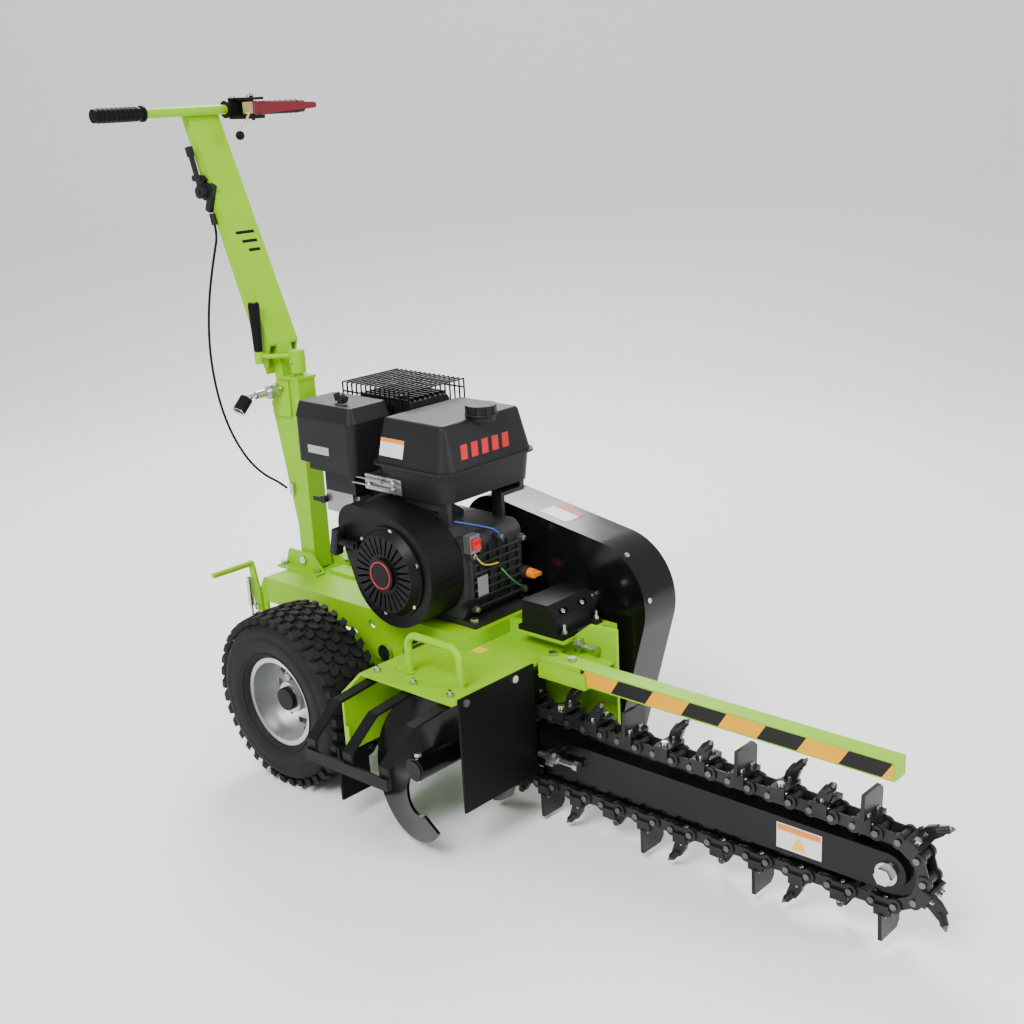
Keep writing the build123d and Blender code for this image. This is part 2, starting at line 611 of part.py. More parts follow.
def auger_flight():
    """Helical blade that ends in a sickle point at the machine's side."""
    turn, y_in, y_out, thick = 400.0, -122.0, -366.0, 7.0
    steps = 40
    rings = []
    for i in range(steps + 1):
        t = i / steps
        angle = radians(324 - turn * (1 - t))
        taper = max(0.0, (t - 0.68) / 0.32)
        r_in = 25.0 + (AUGER_R - 31) * taper ** 1.6
        y = y_in + (y_out - y_in) * t
        ring = []
        for r, dy in ((r_in, 0), (AUGER_R, 0), (AUGER_R, -thick), (r_in, -thick)):
            ring.append(Vector(HEAD_X + r * cos(angle), y + dy, HEAD_Z + r * sin(angle)))
        rings.append(ring)
    return triangle_solid(rings)


def auger_tube():
    tube = ring_y(HEAD_X, HEAD_Z, 26, 20, -318, -112)
    bolt = rod_z(HEAD_X, -306, 5, HEAD_Z - 34, HEAD_Z + 34) + hex_z(HEAD_X, -306, HEAD_Z + 26, 16, 10)
    return tube + (bolt - rod_y(HEAD_X, HEAD_Z, 20, -330, -90))


# ---------------------------------------------------------------- digging chain
ROLLER_R = 10.0


def chain_path(nose_x):
    """Pin centres of the closed chain, marched link by link round the head and the nose.

    Returns the pins and the error with which the last link misses the first pin."""
    pin_r = PITCH / 2 / sin(pi / HEAD_TEETH)
    run = hypot(nose_x - HEAD_X, NOSE_Z - HEAD_Z)
    heading = atan2(NOSE_Z - HEAD_Z, nose_x - HEAD_X)
    lean = asin((pin_r - NOSE_R) / run)
    top = heading + pi / 2 - lean
    low = heading - pi / 2 + lean
    straight = run * cos(lean)
    arc_head = pin_r * (2 * pi - (top - low))
    arc_nose = NOSE_R * (top - low)

    def place(s):
        """The point a distance s along the path, from the head's top tangent point, clockwise."""
        if s < straight:
            return (HEAD_X + pin_r * cos(top) + s * cos(top - pi / 2),
                    HEAD_Z + pin_r * sin(top) + s * sin(top - pi / 2))
        s -= straight
        if s < arc_nose:
            a = top - s / NOSE_R
            return nose_x + NOSE_R * cos(a), NOSE_Z + NOSE_R * sin(a)
        s -= arc_nose
        if s < straight:
            return (nose_x + NOSE_R * cos(low) + s * cos(low - pi / 2),
                    NOSE_Z + NOSE_R * sin(low) + s * sin(low - pi / 2))
        s -= straight
        a = low - s / pin_r
        return HEAD_X + pin_r * cos(a), HEAD_Z + pin_r * sin(a)

    total = 2 * straight + arc_nose + arc_head
    s, pins = 0.0, [place(0.0)]
    for _ in range(LINKS):
        step_low, step_high = PITCH, PITCH * 1.2
        for _ in range(40):
            step = (step_low + step_high) / 2
            x, z = place(s + step)
            if hypot(x - pins[-1][0], z - pins[-1][1]) < PITCH:
                step_low = step
            else:
                step_high = step
        s += step
        pins.append(place(s))
    return pins[:-1], s - total, degrees(top)


def fitted_nose():
    """The nose position, set by the tension screw, at which the chain just closes."""
    low, high = 1300.0, 1450.0
    for _ in range(50):
        mid = (low + high) / 2
        if chain_path(mid)[1] > 0:
            low = mid
        else:
            high = mid
    return mid


NOSE_X = fitted_nose()
PINS, CLOSING_ERROR, TOP_ANGLE = chain_path(NOSE_X)


def seat_angle():
    return TOP_ANGLE


def link_plate(a, b, y0, y1, r):
    """One waisted side plate between two pins."""
    run = hypot(b[0] - a[0], b[1] - a[1])
    face = Circle(r) + Pos(run, 0) * Circle(r) + Pos(run / 2, 0) * Rectangle(run, r * 1.5)
    plate = spread(face, y0, y1)
    return Pos(a[0], 0, a[1]) * Rot(0, -degrees(atan2(b[1] - a[1], b[0] - a[0])), 0) * plate


def digging_chain():
    """Pins, rollers and the inner and outer side plates of every link."""
    solids = []
    for i, pin in enumerate(PINS):
        nxt = PINS[(i + 1) % LINKS]
        if i % 2 == 0:
            sides = ((CHAIN_Y - 24.0, CHAIN_Y - 20.2), (CHAIN_Y + 20.2, CHAIN_Y + 24.0))
            radius = 14.5
        else:
            sides = ((CHAIN_Y - 19.8, CHAIN_Y - 16.0), (CHAIN_Y + 16.0, CHAIN_Y + 19.8))
            radius = 15.0
        for y0, y1 in sides:
            solids.append(link_plate(pin, nxt, y0, y1, radius) - rod_y(pin[0], pin[1], 5.5, -100, 0)
                          - rod_y(nxt[0], nxt[1], 5.5, -100, 0))
        solids.append(rod_y(pin[0], pin[1], 5.3, CHAIN_Y - 27, CHAIN_Y + 27))
        solids.append(ring_y(pin[0], pin[1], ROLLER_R, 5.6, CHAIN_Y - 15.6, CHAIN_Y + 15.6))
    return solids


def link_frame(i):
    """Midpoint of link i and the angle of its outward normal, in degrees."""
    a, b = PINS[i], PINS[(i + 1) % LINKS]
    return (a[0] + b[0]) / 2, (a[1] + b[1]) / 2, degrees(atan2(b[1] - a[1], b[0] - a[0]))


TIP = 72.0                 # reach of a paddle above the line of the pins
TOOTH_TIP = 80.0           # reach of a tooth


def cutter(kind):
    """One cutter on its two attachment tabs, drawn on a link lying along +X, outward +Z."""
    base = block(-17, 17, -24, 24, 17, 23)
    tabs = block(-15, 15, -30, -24.4, 2, 23) + block(-15, 15, 24.4, 30, 2, 23)
    shape = base + tabs
    bolts = [hex_z(0, y, 23, 13, 7) for y in (-17, 17)]
    for bolt in bolts:
        shape = shape + bolt
    if kind == "paddle":
        shape = shape + block(-4, 4, -34, 34, 20, TIP)
        return shape - Pos(0, 34, TIP) * Rot(45, 0, 0) * Box(20, 16, 16)
    side = -1 if kind == "near" else 1
    lean = 40
    arm = plate_xz([(-13, 21), (13, 21), (24, TOOTH_TIP - 28), (4, TOOTH_TIP - 22), (-8, 40)],
                   side * 17 - 5, side * 17 + 5)
    tooth = Pos(16, side * (17 + 3), TOOTH_TIP - 24) * Rot(-side * 20, lean, 0) * (
        Cylinder(8, 22) + Pos(0, 0, 15) * Cone(7.4, 2, 12))
    return shape + arm + tooth


def chain_cutters():
    """Cutters on every second link: near tooth, paddle, far tooth, repeated."""
    kinds = ("near", "paddle", "far")
    patterns = {kind: cutter(kind) for kind in kinds}
    solids = []
    for n, i in enumerate(range(0, LINKS, 2)):
        x, z, angle = link_frame(i)
        solids.append(Pos(x, CHAIN_Y, z) * Rot(0, -angle, 0) * patterns[kinds[n % 3]])
    return solids


# ---------------------------------------------------------------- boom and safety bar
BOOM_Z0, BOOM_Z1 = 130.0, 204.0


def rail_height(x, side):
    """Height of the wear rail's edge: just inside the rollers of the upper (+1) or lower (-1) run."""
    pin_r = PITCH / 2 / sin(pi / HEAD_TEETH)
    share = (x - HEAD_X) / (NOSE_X - HEAD_X)
    pin = HEAD_Z + share * (NOSE_Z - HEAD_Z) + side * (pin_r + share * (NOSE_R - pin_r))
    return pin - side * (ROLLER_R + 0.7)


def boom():
    """Box-section boom with wear rails, and two cheeks that hold the nose shaft."""
    y0, y1 = CHAIN_Y - 30, CHAIN_Y + 30
    body = (block(536, NOSE_X - 70, y0, y1, BOOM_Z0, BOOM_Z1)
            - block(535, NOSE_X - 76, y0 + 6, y1 - 6, BOOM_Z0 + 6, BOOM_Z1 - 6))
    for ya, yb in ((y0, y0 + 6), (y1 - 6, y1)):
        face = Pos(NOSE_X, BOOM_Z0 + 37) * Circle(37) + Pos(NOSE_X - 60, BOOM_Z0 + 37) * Rectangle(120, 74)
        body = body + spread(face, ya, yb)
    for side, edge in ((1, BOOM_Z1 - 1), (-1, BOOM_Z0 + 1)):
        line = [(x, rail_height(x, side)) for x in (566, NOSE_X - 78)]
        body = body + plate_xz([(566, edge), line[0], line[1], (NOSE_X - 78, edge)], CHAIN_Y - 8, CHAIN_Y + 8)
    body = body + block(536, 620, y1 - 1, 3.8, BOOM_Z0 + 4, BOOM_Z1 - 4)
    return body - rod_y(NOSE_X, NOSE_Z, 14, -130, 0)


def nose_shaft():
    """Fixed nose shaft with its washers and nuts."""
    near, far = CHAIN_Y - 30, CHAIN_Y + 30
    shape = rod_y(NOSE_X, NOSE_Z, 14, near - 6, far + 6)
    shape = shape + rod_y(NOSE_X, NOSE_Z, 22, near - 4, near) + rod_y(NOSE_X, NOSE_Z, 22, far, far + 4)
    return shape + hex_y(NOSE_X, NOSE_Z, near - 18, 30, 14) + hex_y(NOSE_X, NOSE_Z, far + 4, 30, 12)


def nose_idler():
    """Plain roller with a flange on each side, turning on the nose shaft."""
    tread = NOSE_R - ROLLER_R - 0.5
    roller = rod_y(NOSE_X, NOSE_Z, tread, CHAIN_Y - 14, CHAIN_Y + 14)
    hub = rod_y(NOSE_X, NOSE_Z, 30, CHAIN_Y - 23, CHAIN_Y + 23)
    return (roller + hub) - rod_y(NOSE_X, NOSE_Z, 14 + FIT, -100, 0)


def boom_tensioner():
    """Tension screw along the boom's near side, in its welded lug."""
    y, z = CHAIN_Y - 42, 166
    lug = block(612, 632, y - 10, CHAIN_Y - 30, z - 15, z + 15) - rod_x(600, 640, y, z, 7)
    screw = rod_x(588, 684, y, z, 7) + hex_x(632, y, z, 20, 12) + hex_x(684, y, z, 19, 12)
    return lug, screw


BAR_Y0, BAR_Y1, BAR_Z0, BAR_Z1 = -86.0, -46.0, 339.5, 377.0


def safety_bar():
    """Square tube over the chain, closed at its front end."""
    tube = block(582, 1394, BAR_Y0, BAR_Y1, BAR_Z0, BAR_Z1)
    return tube - block(581, 1390, BAR_Y0 + 4, BAR_Y1 - 4, BAR_Z0 + 4, BAR_Z1 - 4)


def bar_bracket():
    """Angle under the bar, its near lip and the ledge that ties it to the upright plate."""
    lip = block(582, 706, BAR_Y0 - 7, BAR_Y0 - 0.3, 333.5, 366)
    floor = block(582, 706, BAR_Y0 - 7, 3.8, 333.5, 339.2)
    ledge = block(626, 706, BAR_Y1 + 0.3, 3.8, 360, 366)
    return lip + floor + ledge


def belt_tension_bolt():
    y, z = -8, 385
    lug = block(618, 626, -20, 3.8, 372, 398) - rod_x(610, 640, y, z, 5)
    bolt = rod_x(610, 664, y, z, 5) + hex_x(626, y, z, 16, 8) + hex_x(664, y, z, 16, 8)
    return lug, bolt


# ---------------------------------------------------------------- engine
BARREL = Pos(130, 9, 572) * Rot(0, -72, 0)


def engine_block():
    """Crankcase with its foot, side cover ribs and the inclined cylinder barrel."""
    foot = block(150, 400, -86, 104, BED_Z, BED_Z + 12)
    case = block(160, 372, -84, 100, BED_Z + 10, 590)
    case = fillet(case.edges().filter_by(Axis.Y), 26)
    front = rod_y(CRANK_X, CRANK_Z, 112, -86, -30)
    barrel = BARREL * Box(116, 106, 190)
    ribs = [block(372, 379, -70 + 30 * i, -62 + 30 * i, 430, 560) for i in range(6)]
    shape = foot + case + front + barrel
    for rib in ribs:
        shape = shape + rib
    fins = [BARREL * Pos(0, 0, 10 + 13 * i) * Box(132, 108, 4) for i in range(6)]
    for fin in fins:
        shape = shape + fin
    shape = shape + rod_x(372, 396, 96, 470, 14)
    return shape - rod_y(CRANK_X, CRANK_Z, 12.5 + FIT, -100, 120)


def cylinder_head():
    return BARREL * Pos(0, 0, 122) * fillet(Box(122, 108, 52).edges().filter_by(Axis.Z), 14)


def fan_shroud():
    """Fan housing round the recoil starter, with a duct that rises over the barrel."""
    outline = wrap([(CRANK_X, CRANK_Z - 4, 122), (150, 604, 54)])
    outer = spread(outline, -184, -87)
    inner = spread(wrap([(CRANK_X, CRANK_Z - 4, 118), (150, 604, 50)]), -180, -86)
    shape = outer - inner
    shape = shape - rod_y(CRANK_X, CRANK_Z, 88, -190, -170)
    return shape


def recoil_cover():
    """Domed starter cover with radial slots and a raised centre boss."""
    ring = rod_y(CRANK_X, CRANK_Z, 100, -190, -184.3)
    dome = Pos(CRANK_X, -198, CRANK_Z) * Rot(90, 0, 0) * Cone(97, 84, 16)
    boss = rod_y(CRANK_X, CRANK_Z, 36, -214, -200)
    shape = ring + dome + boss
    hollow = Pos(CRANK_X, -193, CRANK_Z) * Rot(90, 0, 0) * Cone(92, 80, 18)
    shape = shape - hollow
    slots = 28
    for i in range(slots):
        slot = Pos(CRANK_X, -205, CRANK_Z) * Rot(0, i * 360 / slots, 0) * Pos(63, 0, 0) * Box(38, 20, 4.6)
        shape = shape - slot
    return shape


def flywheel():
    body = rod_y(CRANK_X, CRANK_Z, 86, -150, -112) - rod_y(CRANK_X, CRANK_Z, 60, -151, -126)
    for i in range(12):
        vane = Pos(CRANK_X, -158, CRANK_Z) * Rot(0, i * 30, 0) * Pos(72, 0, 0) * Box(24, 18, 4)
        body = body + vane
    shaft = rod_y(CRANK_X, CRANK_Z, 12.5, -126, 106)
    return body + shaft


def starter_handle():
    """T handle and the visible stretch of its cord."""
    grip_bar = Pos(108, -200, 572) * Rot(0, 12, 0) * fillet(Box(22, 26, 62).edges(), 6)
    neck = rod_x(118, 141, -200, 572, 8)
    return grip_bar + neck


def starter_guide():
    return rod_x(142, 168, -200, 572, 9) + block(160, 176, -204, -184.5, 562, 582)


def fuel_tank():
    """Pressed tank: lower half, the seam flange and the domed upper half."""
    x0, x1, y0, y1 = 118, 356, -106, 192
    cx, cy = (x0 + x1) / 2, (y0 + y1) / 2
    w, d = x1 - x0, y1 - y0
    lower = Pos(cx, cy, 662) * extrude(RectangleRounded(w - 30, d - 30, 30), 68, taper=-7)
    seam = Pos(cx, cy, 726) * extrude(RectangleRounded(w, d, 34), 6)
    upper = Pos(cx, cy, 732) * extrude(RectangleRounded(w - 10, d - 10, 34), 96, taper=14)
    neck = rod_z(326, 44, 30, 820, 834)
    upper = fillet(upper.edges().group_by(Axis.Z)[-1], 12)
    return lower + seam + upper + neck


def tank_brackets():
    shape = block(170, 330, -80, -66, 640, 662) + block(170, 330, 150, 164, 640, 662)
    legs = [block(300, 330, -78, -66, 595, 645) - rod_y(CRANK_X, CRANK_Z, 112.3, -90, -50), block(300, 330, 92, 164, 636, 645),
            block(300, 330, 88, 98, 590.2, 645)]
    for leg in legs:
        shape = shape + leg
    return shape


def fuel_cap():
    core = rod_z(326, 44, 34, 834.4, 854)
    for i in range(10):
        core = core - rod_z(326 + 36 * cos(radians(36 * i)), 44 + 36 * sin(radians(36 * i)), 6, 830, 850)
    return core


def air_cleaner():
    """Air cleaner body in front of the column, with its cut-away lower corner."""
    body = Pos(-8, -56, 692) * extrude(RectangleRounded(190, 128, 18), 116)
    body = body - block(-110, -60, -125, 20, 680, 706)
    elbow = block(-40, 60, -96, -50, 640.5, 693)
    return body + elbow


def air_cleaner_lid():
    lid = Pos(-8, -56, 808.4) * extrude(RectangleRounded(194, 132, 20), 34, taper=18)
    return fillet(lid.edges().group_by(Axis.Z)[-1], 6)


def wing_nut():
    x, y = 20, -80
    hub = rod_z(x, y, 9, 842.8, 854)
    left = Pos(x - 12, y, 857) * Rot(0, -25, 0) * Box(18, 5, 16)
    right = Pos(x + 12, y, 857) * Rot(0, 25, 0) * Box(18, 5, 16)
    return hub + left + right


def carburettor():
    body = block(-46, 44, -92, -48, 590, 640)
    bowl = rod_z(0, -72, 22, 556, 590)
    inlet = block(44, 58, -84, -50, 596, 634)
    return body + bowl + inlet


def governor():
    """Linkage plate, governor rods and the return spring above the fan housing."""
    plate = block(100, 214, -100, -96, 666, 700)
    rods = rod_x(62, 200, -104, 676, 2.2) + rod_x(64, 210, -104, 690, 2)
    spring = rod_x(110, 160, -104, 690, 5)
    return plate + rods + spring


def choke_lever():
    x, z = -48, 616
    return (rod_y(x, z, 9, -104, -92.4) + Pos(x - 16, -100, z - 2) * Box(34, 6, 9))


def muffler():
    body = Pos(20, 102, 788) * fillet(Box(180, 144, 84).edges(), 16)
    pipe = rod_z(92, 36, 13, 790, 848)
    neck = block(-30, 30, 66, 110, 660, 752)
    ribs = [block(-58, 98, 44 + 16 * i, 50 + 16 * i, 828, 836) for i in range(8)]
    shape = body + pipe + neck
    for rib in ribs:
        shape = shape + rib
    return shape


def muffler_guard():
    """Wire cage over the silencer: ribs that bend down both sides, tied by long wires."""
    x0, x1, y0, y1, z0, z1, r = -84.0, 134.0, 16.0, 190.0, 800.0, 862.0, 2.0
    shape = None
    count = 15
    for i in range(count):
        x = x0 + i * (x1 - x0) / (count - 1)
        rib = (rod_y(x, z1, r, y0, y1) + rod_z(x, y0, r, z0, z1) + rod_z(x, y1, r, z0, z1))
        shape = rib if shape is None else shape + rib
    for y, z in ((y0, z0), (y0, z1 - 20), (y0 + 40, z1), (y0 + 87, z1), (y0 + 132, z1), (y1, z1 - 20), (y1, z0)):
        shape = shape + rod_x(x0, x1, y, z, r)
    return shape


def engine_switch():
    return block(372.5, 392, -80, -50, 560, 600)


def stop_rocker():
    return plate_xz([(392.4, 581), (394, 592), (402, 592), (400, 581), (402, 570), (394, 570)], -74, -56)


def dipstick():
    head = rod_x(396.4, 412, 96, 470, 11)
    return head + Pos(415, 96, 470) * Box(12, 26, 8)


# ---------------------------------------------------------------- fasteners and cable
def deck_bolts():
    solids = []
    for x in GUARD_X:
        solids.append(hex_z(x, -317, DECK_Z, 14, 7) + rod_z(x, -317, 4, DECK_Z, DECK_Z + 14))
    for y in (-308, -166):
        solids.append(rod_x(DECK_X1 + 5, DECK_X1 + 9, y, DECK_Z - 8, 8))
    return solids


def frame_bolts():
    solids = []
    for x, y in ((-162, -50), (-162, 50), (-282, -50), (-282, 50)):
        solids.append(hex_z(x, y, BED_Z + 6, 16, 8))
    for x, y in ((387, -74), (387, 92)):
        solids.append(hex_z(x, y, BED_Z + 12, 16, 8))
    for y in (-20, 84):
        solids.append(hex_z(594, y, 409, 12, 7) + rod_z(594, y, 3.5, 409, 428))
    for x in (600, 652):
        solids.append(hex_z(x, (BAR_Y0 + BAR_Y1) / 2, BAR_Z1, 17, 8))
    return solids


CABLE_ROUTE = [(-408.8, -49.6, 1209), (-403, -51, 1184), (-404, -62, 1150), (-412, -74, 1092), (-418, -84, 1034),
               (-421, -91, 976), (-420, -96, 918), (-414, -98, 860), (-403, -98, 802), (-387, -94, 746),
               (-366, -86, 696), (-340, -74, 652), (-310, -58, 622), (-280, -42, 606), (-262, -34, 592)]


def throttle_cable():
    """The Bowden cable from the throttle's ferrule to the clip on the column's rear edge."""
    points = [Vector(*p) for p in CABLE_ROUTE]
    radii = []
    for a, b, c in zip(points, points[1:], points[2:]):
        turn = radians((b - a).get_angle(c - b))
        shorter = min((b - a).length, (c - b).length)
        radii.append(0.45 * shorter / abs(sin(turn / 2) / cos(turn / 2)))
    path = FilletPolyline(*points, radius=radii)
    tube = sweep(Plane(path @ 0, z_dir=path % 0) * Circle(3), path=path)
    print("cable radii", [round(r) for r in radii], "length", round(path.length, 1),
          "volume check", round(tube.volume / (path.length * pi * 9), 4))
    return tube


def cable_clip():
    return block(-252, -240, -34, -25.2, 578, 606)


# ---------------------------------------------------------------- assembly
def wheel_parts():
    for name, side in (("left", 1), ("right", -1)):
        keep(name + "_tyre", tyre(TRACK_OUT, side))
        keep(name + "_rim", rim(side), *rim_nuts(side))
    keep("wheel_arm", wheel_arm(), axle_shaft())


def chassis_parts():
    keep("engine_bed", engine_bed(), column_bracket(), brake_lug())
    keep("head_frame", head_frame())
    keep("bearing_box", bearing_box())
    keep("auger_deck", auger_deck())
    keep("deck_handle", deck_handle())
    keep("rubber_flaps", front_flap(), side_flap())
    keep("guard_bars", guard_bars())
    keep("column", column())
    keep("boom", boom())
    keep("safety_bar", safety_bar())
    keep("bar_bracket", bar_bracket())
    keep("frame_fasteners", arm_pivot_pin(), column_bolt(), brake_pin(), cable_clip(), nose_shaft(),
         *boom_tensioner(), *belt_tension_bolt(), *deck_bolts(), *frame_bolts())


def control_parts():
    keep("jack_tube", jack_tube())
    keep("crank", crank_arm() + lead_screw())
    keep("crank_grip", crank_grip())
    keep("mast", mast(), handlebar())
    keep("grips", grip(-292, -166, -168), grip(132, 290, 135))
    keep("lever_bracket", lever_bracket())
    keep("clutch_lever", clutch_lever())
    keep("lever_latch", lever_latch())
    keep("throttle_clamp", *throttle_clamp(), throttle_ferrule())
    keep("throttle_lever", throttle_lever())
    keep("throttle_cable", throttle_cable())
    keep("mast_clamp", *mast_clamp())
    keep("brake_lever", brake_lever())
    keep("brake_spring", brake_spring())


def drive_parts():
    keep("v_belts", *v_belts())
    keep("engine_pulley", engine_pulley())
    keep("jack_shaft", jack_shaft() + jack_pulleys())
    keep("drive_shaft", drive_shaft(), final_pulley())
    keep("head_sprocket", head_sprocket())
    keep("auger", auger_tube() + auger_flight())
    keep("idler_arm", idler_arm())
    keep("idler_roller", idler_roller())
    keep("belt_cover", belt_cover())
    keep("cover_backplate", cover_backplate())
    keep("digging_chain", *digging_chain())
    keep("chain_cutters", *chain_cutters())
    keep("nose_idler", nose_idler())


def engine_parts():
    keep("engine_block", engine_block())
    keep("cylinder_head", cylinder_head(), tank_brackets())
    keep("fan_shroud", fan_shroud())
    keep("recoil_cover", recoil_cover(), starter_guide())
    keep("flywheel", flywheel())
    keep("starter_handle", starter_handle())
    keep("fuel_tank", fuel_tank())
    keep("fuel_cap", fuel_cap())
    keep("air_cleaner", air_cleaner(), air_cleaner_lid())
    keep("wing_nut", wing_nut())
    keep("carburettor", carburettor(), governor(), engine_switch())
    keep("choke_lever", choke_lever())
    keep("muffler", muffler())
    keep("muffler_guard", muffler_guard())
    keep("stop_rocker", stop_rocker())
    keep("dipstick", dipstick())


def write():
    os.makedirs("parts", exist_ok=True)
    low, high = Vector(1e9, 1e9, 1e9), Vector(-1e9, -1e9, -1e9)
    for name, solids in parts.items():
        moved = [Pos(-ORIGIN_X, -ORIGIN_Y, 0) * solid for solid in solids]
        group = Compound(children=moved) if len(moved) > 1 else moved[0]
        box = group.bounding_box()
        low = Vector(min(low.X, box.min.X), min(low.Y, box.min.Y), min(low.Z, box.min.Z))
        high = Vector(max(high.X, box.max.X), max(high.Y, box.max.Y), max(high.Z, box.max.Z))
        export_step(group, f"parts/{name}.step")
    print(len(parts), "nodes, low", low, "high", high)


wheel_parts()
chassis_parts()
control_parts()
drive_parts()
engine_parts()
write()
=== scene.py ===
import math
import random
import bmesh
import bpy
from mathutils import Matrix, Vector


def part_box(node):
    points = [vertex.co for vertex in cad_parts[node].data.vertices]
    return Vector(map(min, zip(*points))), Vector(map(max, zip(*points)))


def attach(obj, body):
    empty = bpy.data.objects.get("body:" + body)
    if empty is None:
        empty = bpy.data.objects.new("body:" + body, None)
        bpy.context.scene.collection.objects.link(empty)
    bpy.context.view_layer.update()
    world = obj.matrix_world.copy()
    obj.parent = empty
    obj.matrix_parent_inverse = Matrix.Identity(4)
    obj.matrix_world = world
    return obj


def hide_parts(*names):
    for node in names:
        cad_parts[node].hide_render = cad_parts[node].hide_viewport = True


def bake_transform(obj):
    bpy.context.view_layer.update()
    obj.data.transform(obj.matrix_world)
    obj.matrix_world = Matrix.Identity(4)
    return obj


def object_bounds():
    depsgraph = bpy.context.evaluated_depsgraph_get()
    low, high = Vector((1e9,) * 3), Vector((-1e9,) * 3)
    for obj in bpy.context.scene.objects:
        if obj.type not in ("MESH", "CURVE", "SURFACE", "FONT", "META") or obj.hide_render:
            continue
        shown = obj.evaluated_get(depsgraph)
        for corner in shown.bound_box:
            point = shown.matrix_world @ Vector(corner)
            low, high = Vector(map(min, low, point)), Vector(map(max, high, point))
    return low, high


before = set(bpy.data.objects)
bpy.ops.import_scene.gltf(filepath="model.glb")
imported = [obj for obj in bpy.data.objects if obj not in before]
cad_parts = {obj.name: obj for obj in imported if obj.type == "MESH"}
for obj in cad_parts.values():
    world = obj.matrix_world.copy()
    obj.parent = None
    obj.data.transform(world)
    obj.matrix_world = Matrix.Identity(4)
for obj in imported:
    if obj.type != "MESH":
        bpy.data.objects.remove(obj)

CAD_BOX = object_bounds()
random.seed(7)

# The axle frame, in mm: X forward from the wheel axle, Y to the belt cover's side, Z up.
_low, _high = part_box("left_tyre")
_rlow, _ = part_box("right_tyre")
AXLE_X = (_low[0] + _high[0]) / 2
MID_Y = (_high[1] + _rlow[1]) / 2
TYRE_R = (_high[2] - _low[2]) / 2 * 1000
MM = 0.001


def at(x, y, z):
    return Vector((AXLE_X + x * MM, MID_Y + y * MM, z * MM))


def mm_box(node):
    """A node's low and high corners in the axle frame, in mm."""
    low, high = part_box(node)
    return ([(low[0] - AXLE_X) / MM, (low[1] - MID_Y) / MM, low[2] / MM],
            [(high[0] - AXLE_X) / MM, (high[1] - MID_Y) / MM, high[2] / MM])


# ---------------------------------------------------------------- materials
def material(name, colour, rough=0.5, metal=0.0, bump=0.15, scale=180.0, coat=0.0, wear=None, dirt=0.12,
             alt=None, stretch=None, bump_distance=0.0006, specular=0.35):
    mat = bpy.data.materials.new(name)
    mat.use_nodes = True
    nodes, links = mat.node_tree.nodes, mat.node_tree.links
    shader = nodes["Principled BSDF"]
    shader.inputs["Metallic"].default_value = metal
    shader.inputs["Coat Weight"].default_value = coat
    shader.inputs["Specular IOR Level"].default_value = specular
    coords = nodes.new("ShaderNodeTexCoord")
    mapping = nodes.new("ShaderNodeMapping")
    mapping.inputs["Scale"].default_value = stretch or (1, 1, 1)
    links.new(coords.outputs["Object"], mapping.inputs["Vector"])

    def noise(at_scale, detail=5.0):
        node = nodes.new("ShaderNodeTexNoise")
        node.inputs["Scale"].default_value = at_scale
        node.inputs["Detail"].default_value = detail
        links.new(mapping.outputs["Vector"], node.inputs["Vector"])
        return node

    def ramp(source, low, high, first, last):
        node = nodes.new("ShaderNodeValToRGB")
        node.color_ramp.elements[0].position, node.color_ramp.elements[1].position = low, high
        node.color_ramp.elements[0].color = (*first, 1)
        node.color_ramp.elements[1].color = (*last, 1)
        links.new(source, node.inputs["Fac"])
        return node

    broad = noise(9.0)
    dark = tuple(c * (1 - dirt) for c in colour)
    tint = ramp(broad.outputs["Fac"], 0.35, 0.65, dark, alt or colour)
    out = tint.outputs["Color"]
    if wear:
        scuff = ramp(noise(210.0, 9.0).outputs["Fac"], 0.66, 0.74, (0, 0, 0), (1, 1, 1))
        patch = ramp(noise(5.0, 3.0).outputs["Fac"], 0.52, 0.7, (0, 0, 0), (0.5, 0.5, 0.5))
        both = nodes.new("ShaderNodeMath")
        both.operation = "MULTIPLY"
        links.new(scuff.outputs["Color"], both.inputs[0])
        links.new(patch.outputs["Color"], both.inputs[1])
        mix = nodes.new("ShaderNodeMix")
        mix.data_type = "RGBA"
        links.new(both.outputs[0], mix.inputs["Factor"])
        links.new(out, mix.inputs["A"])
        mix.inputs["B"].default_value = (*wear, 1)
        out = mix.outputs["Result"]
    links.new(out, shader.inputs["Base Color"])
    gloss = nodes.new("ShaderNodeMapRange")
    gloss.inputs["To Min"].default_value = max(0.03, rough - 0.07)
    gloss.inputs["To Max"].default_value = min(1.0, rough + 0.07)
    links.new(noise(26.0).outputs["Fac"], gloss.inputs["Value"])
    links.new(gloss.outputs["Result"], shader.inputs["Roughness"])
    grain = nodes.new("ShaderNodeBump")
    grain.inputs["Strength"].default_value = bump
    grain.inputs["Distance"].default_value = bump_distance
    links.new(noise(scale).outputs["Fac"], grain.inputs["Height"])
    links.new(grain.outputs["Normal"], shader.inputs["Normal"])
    return mat


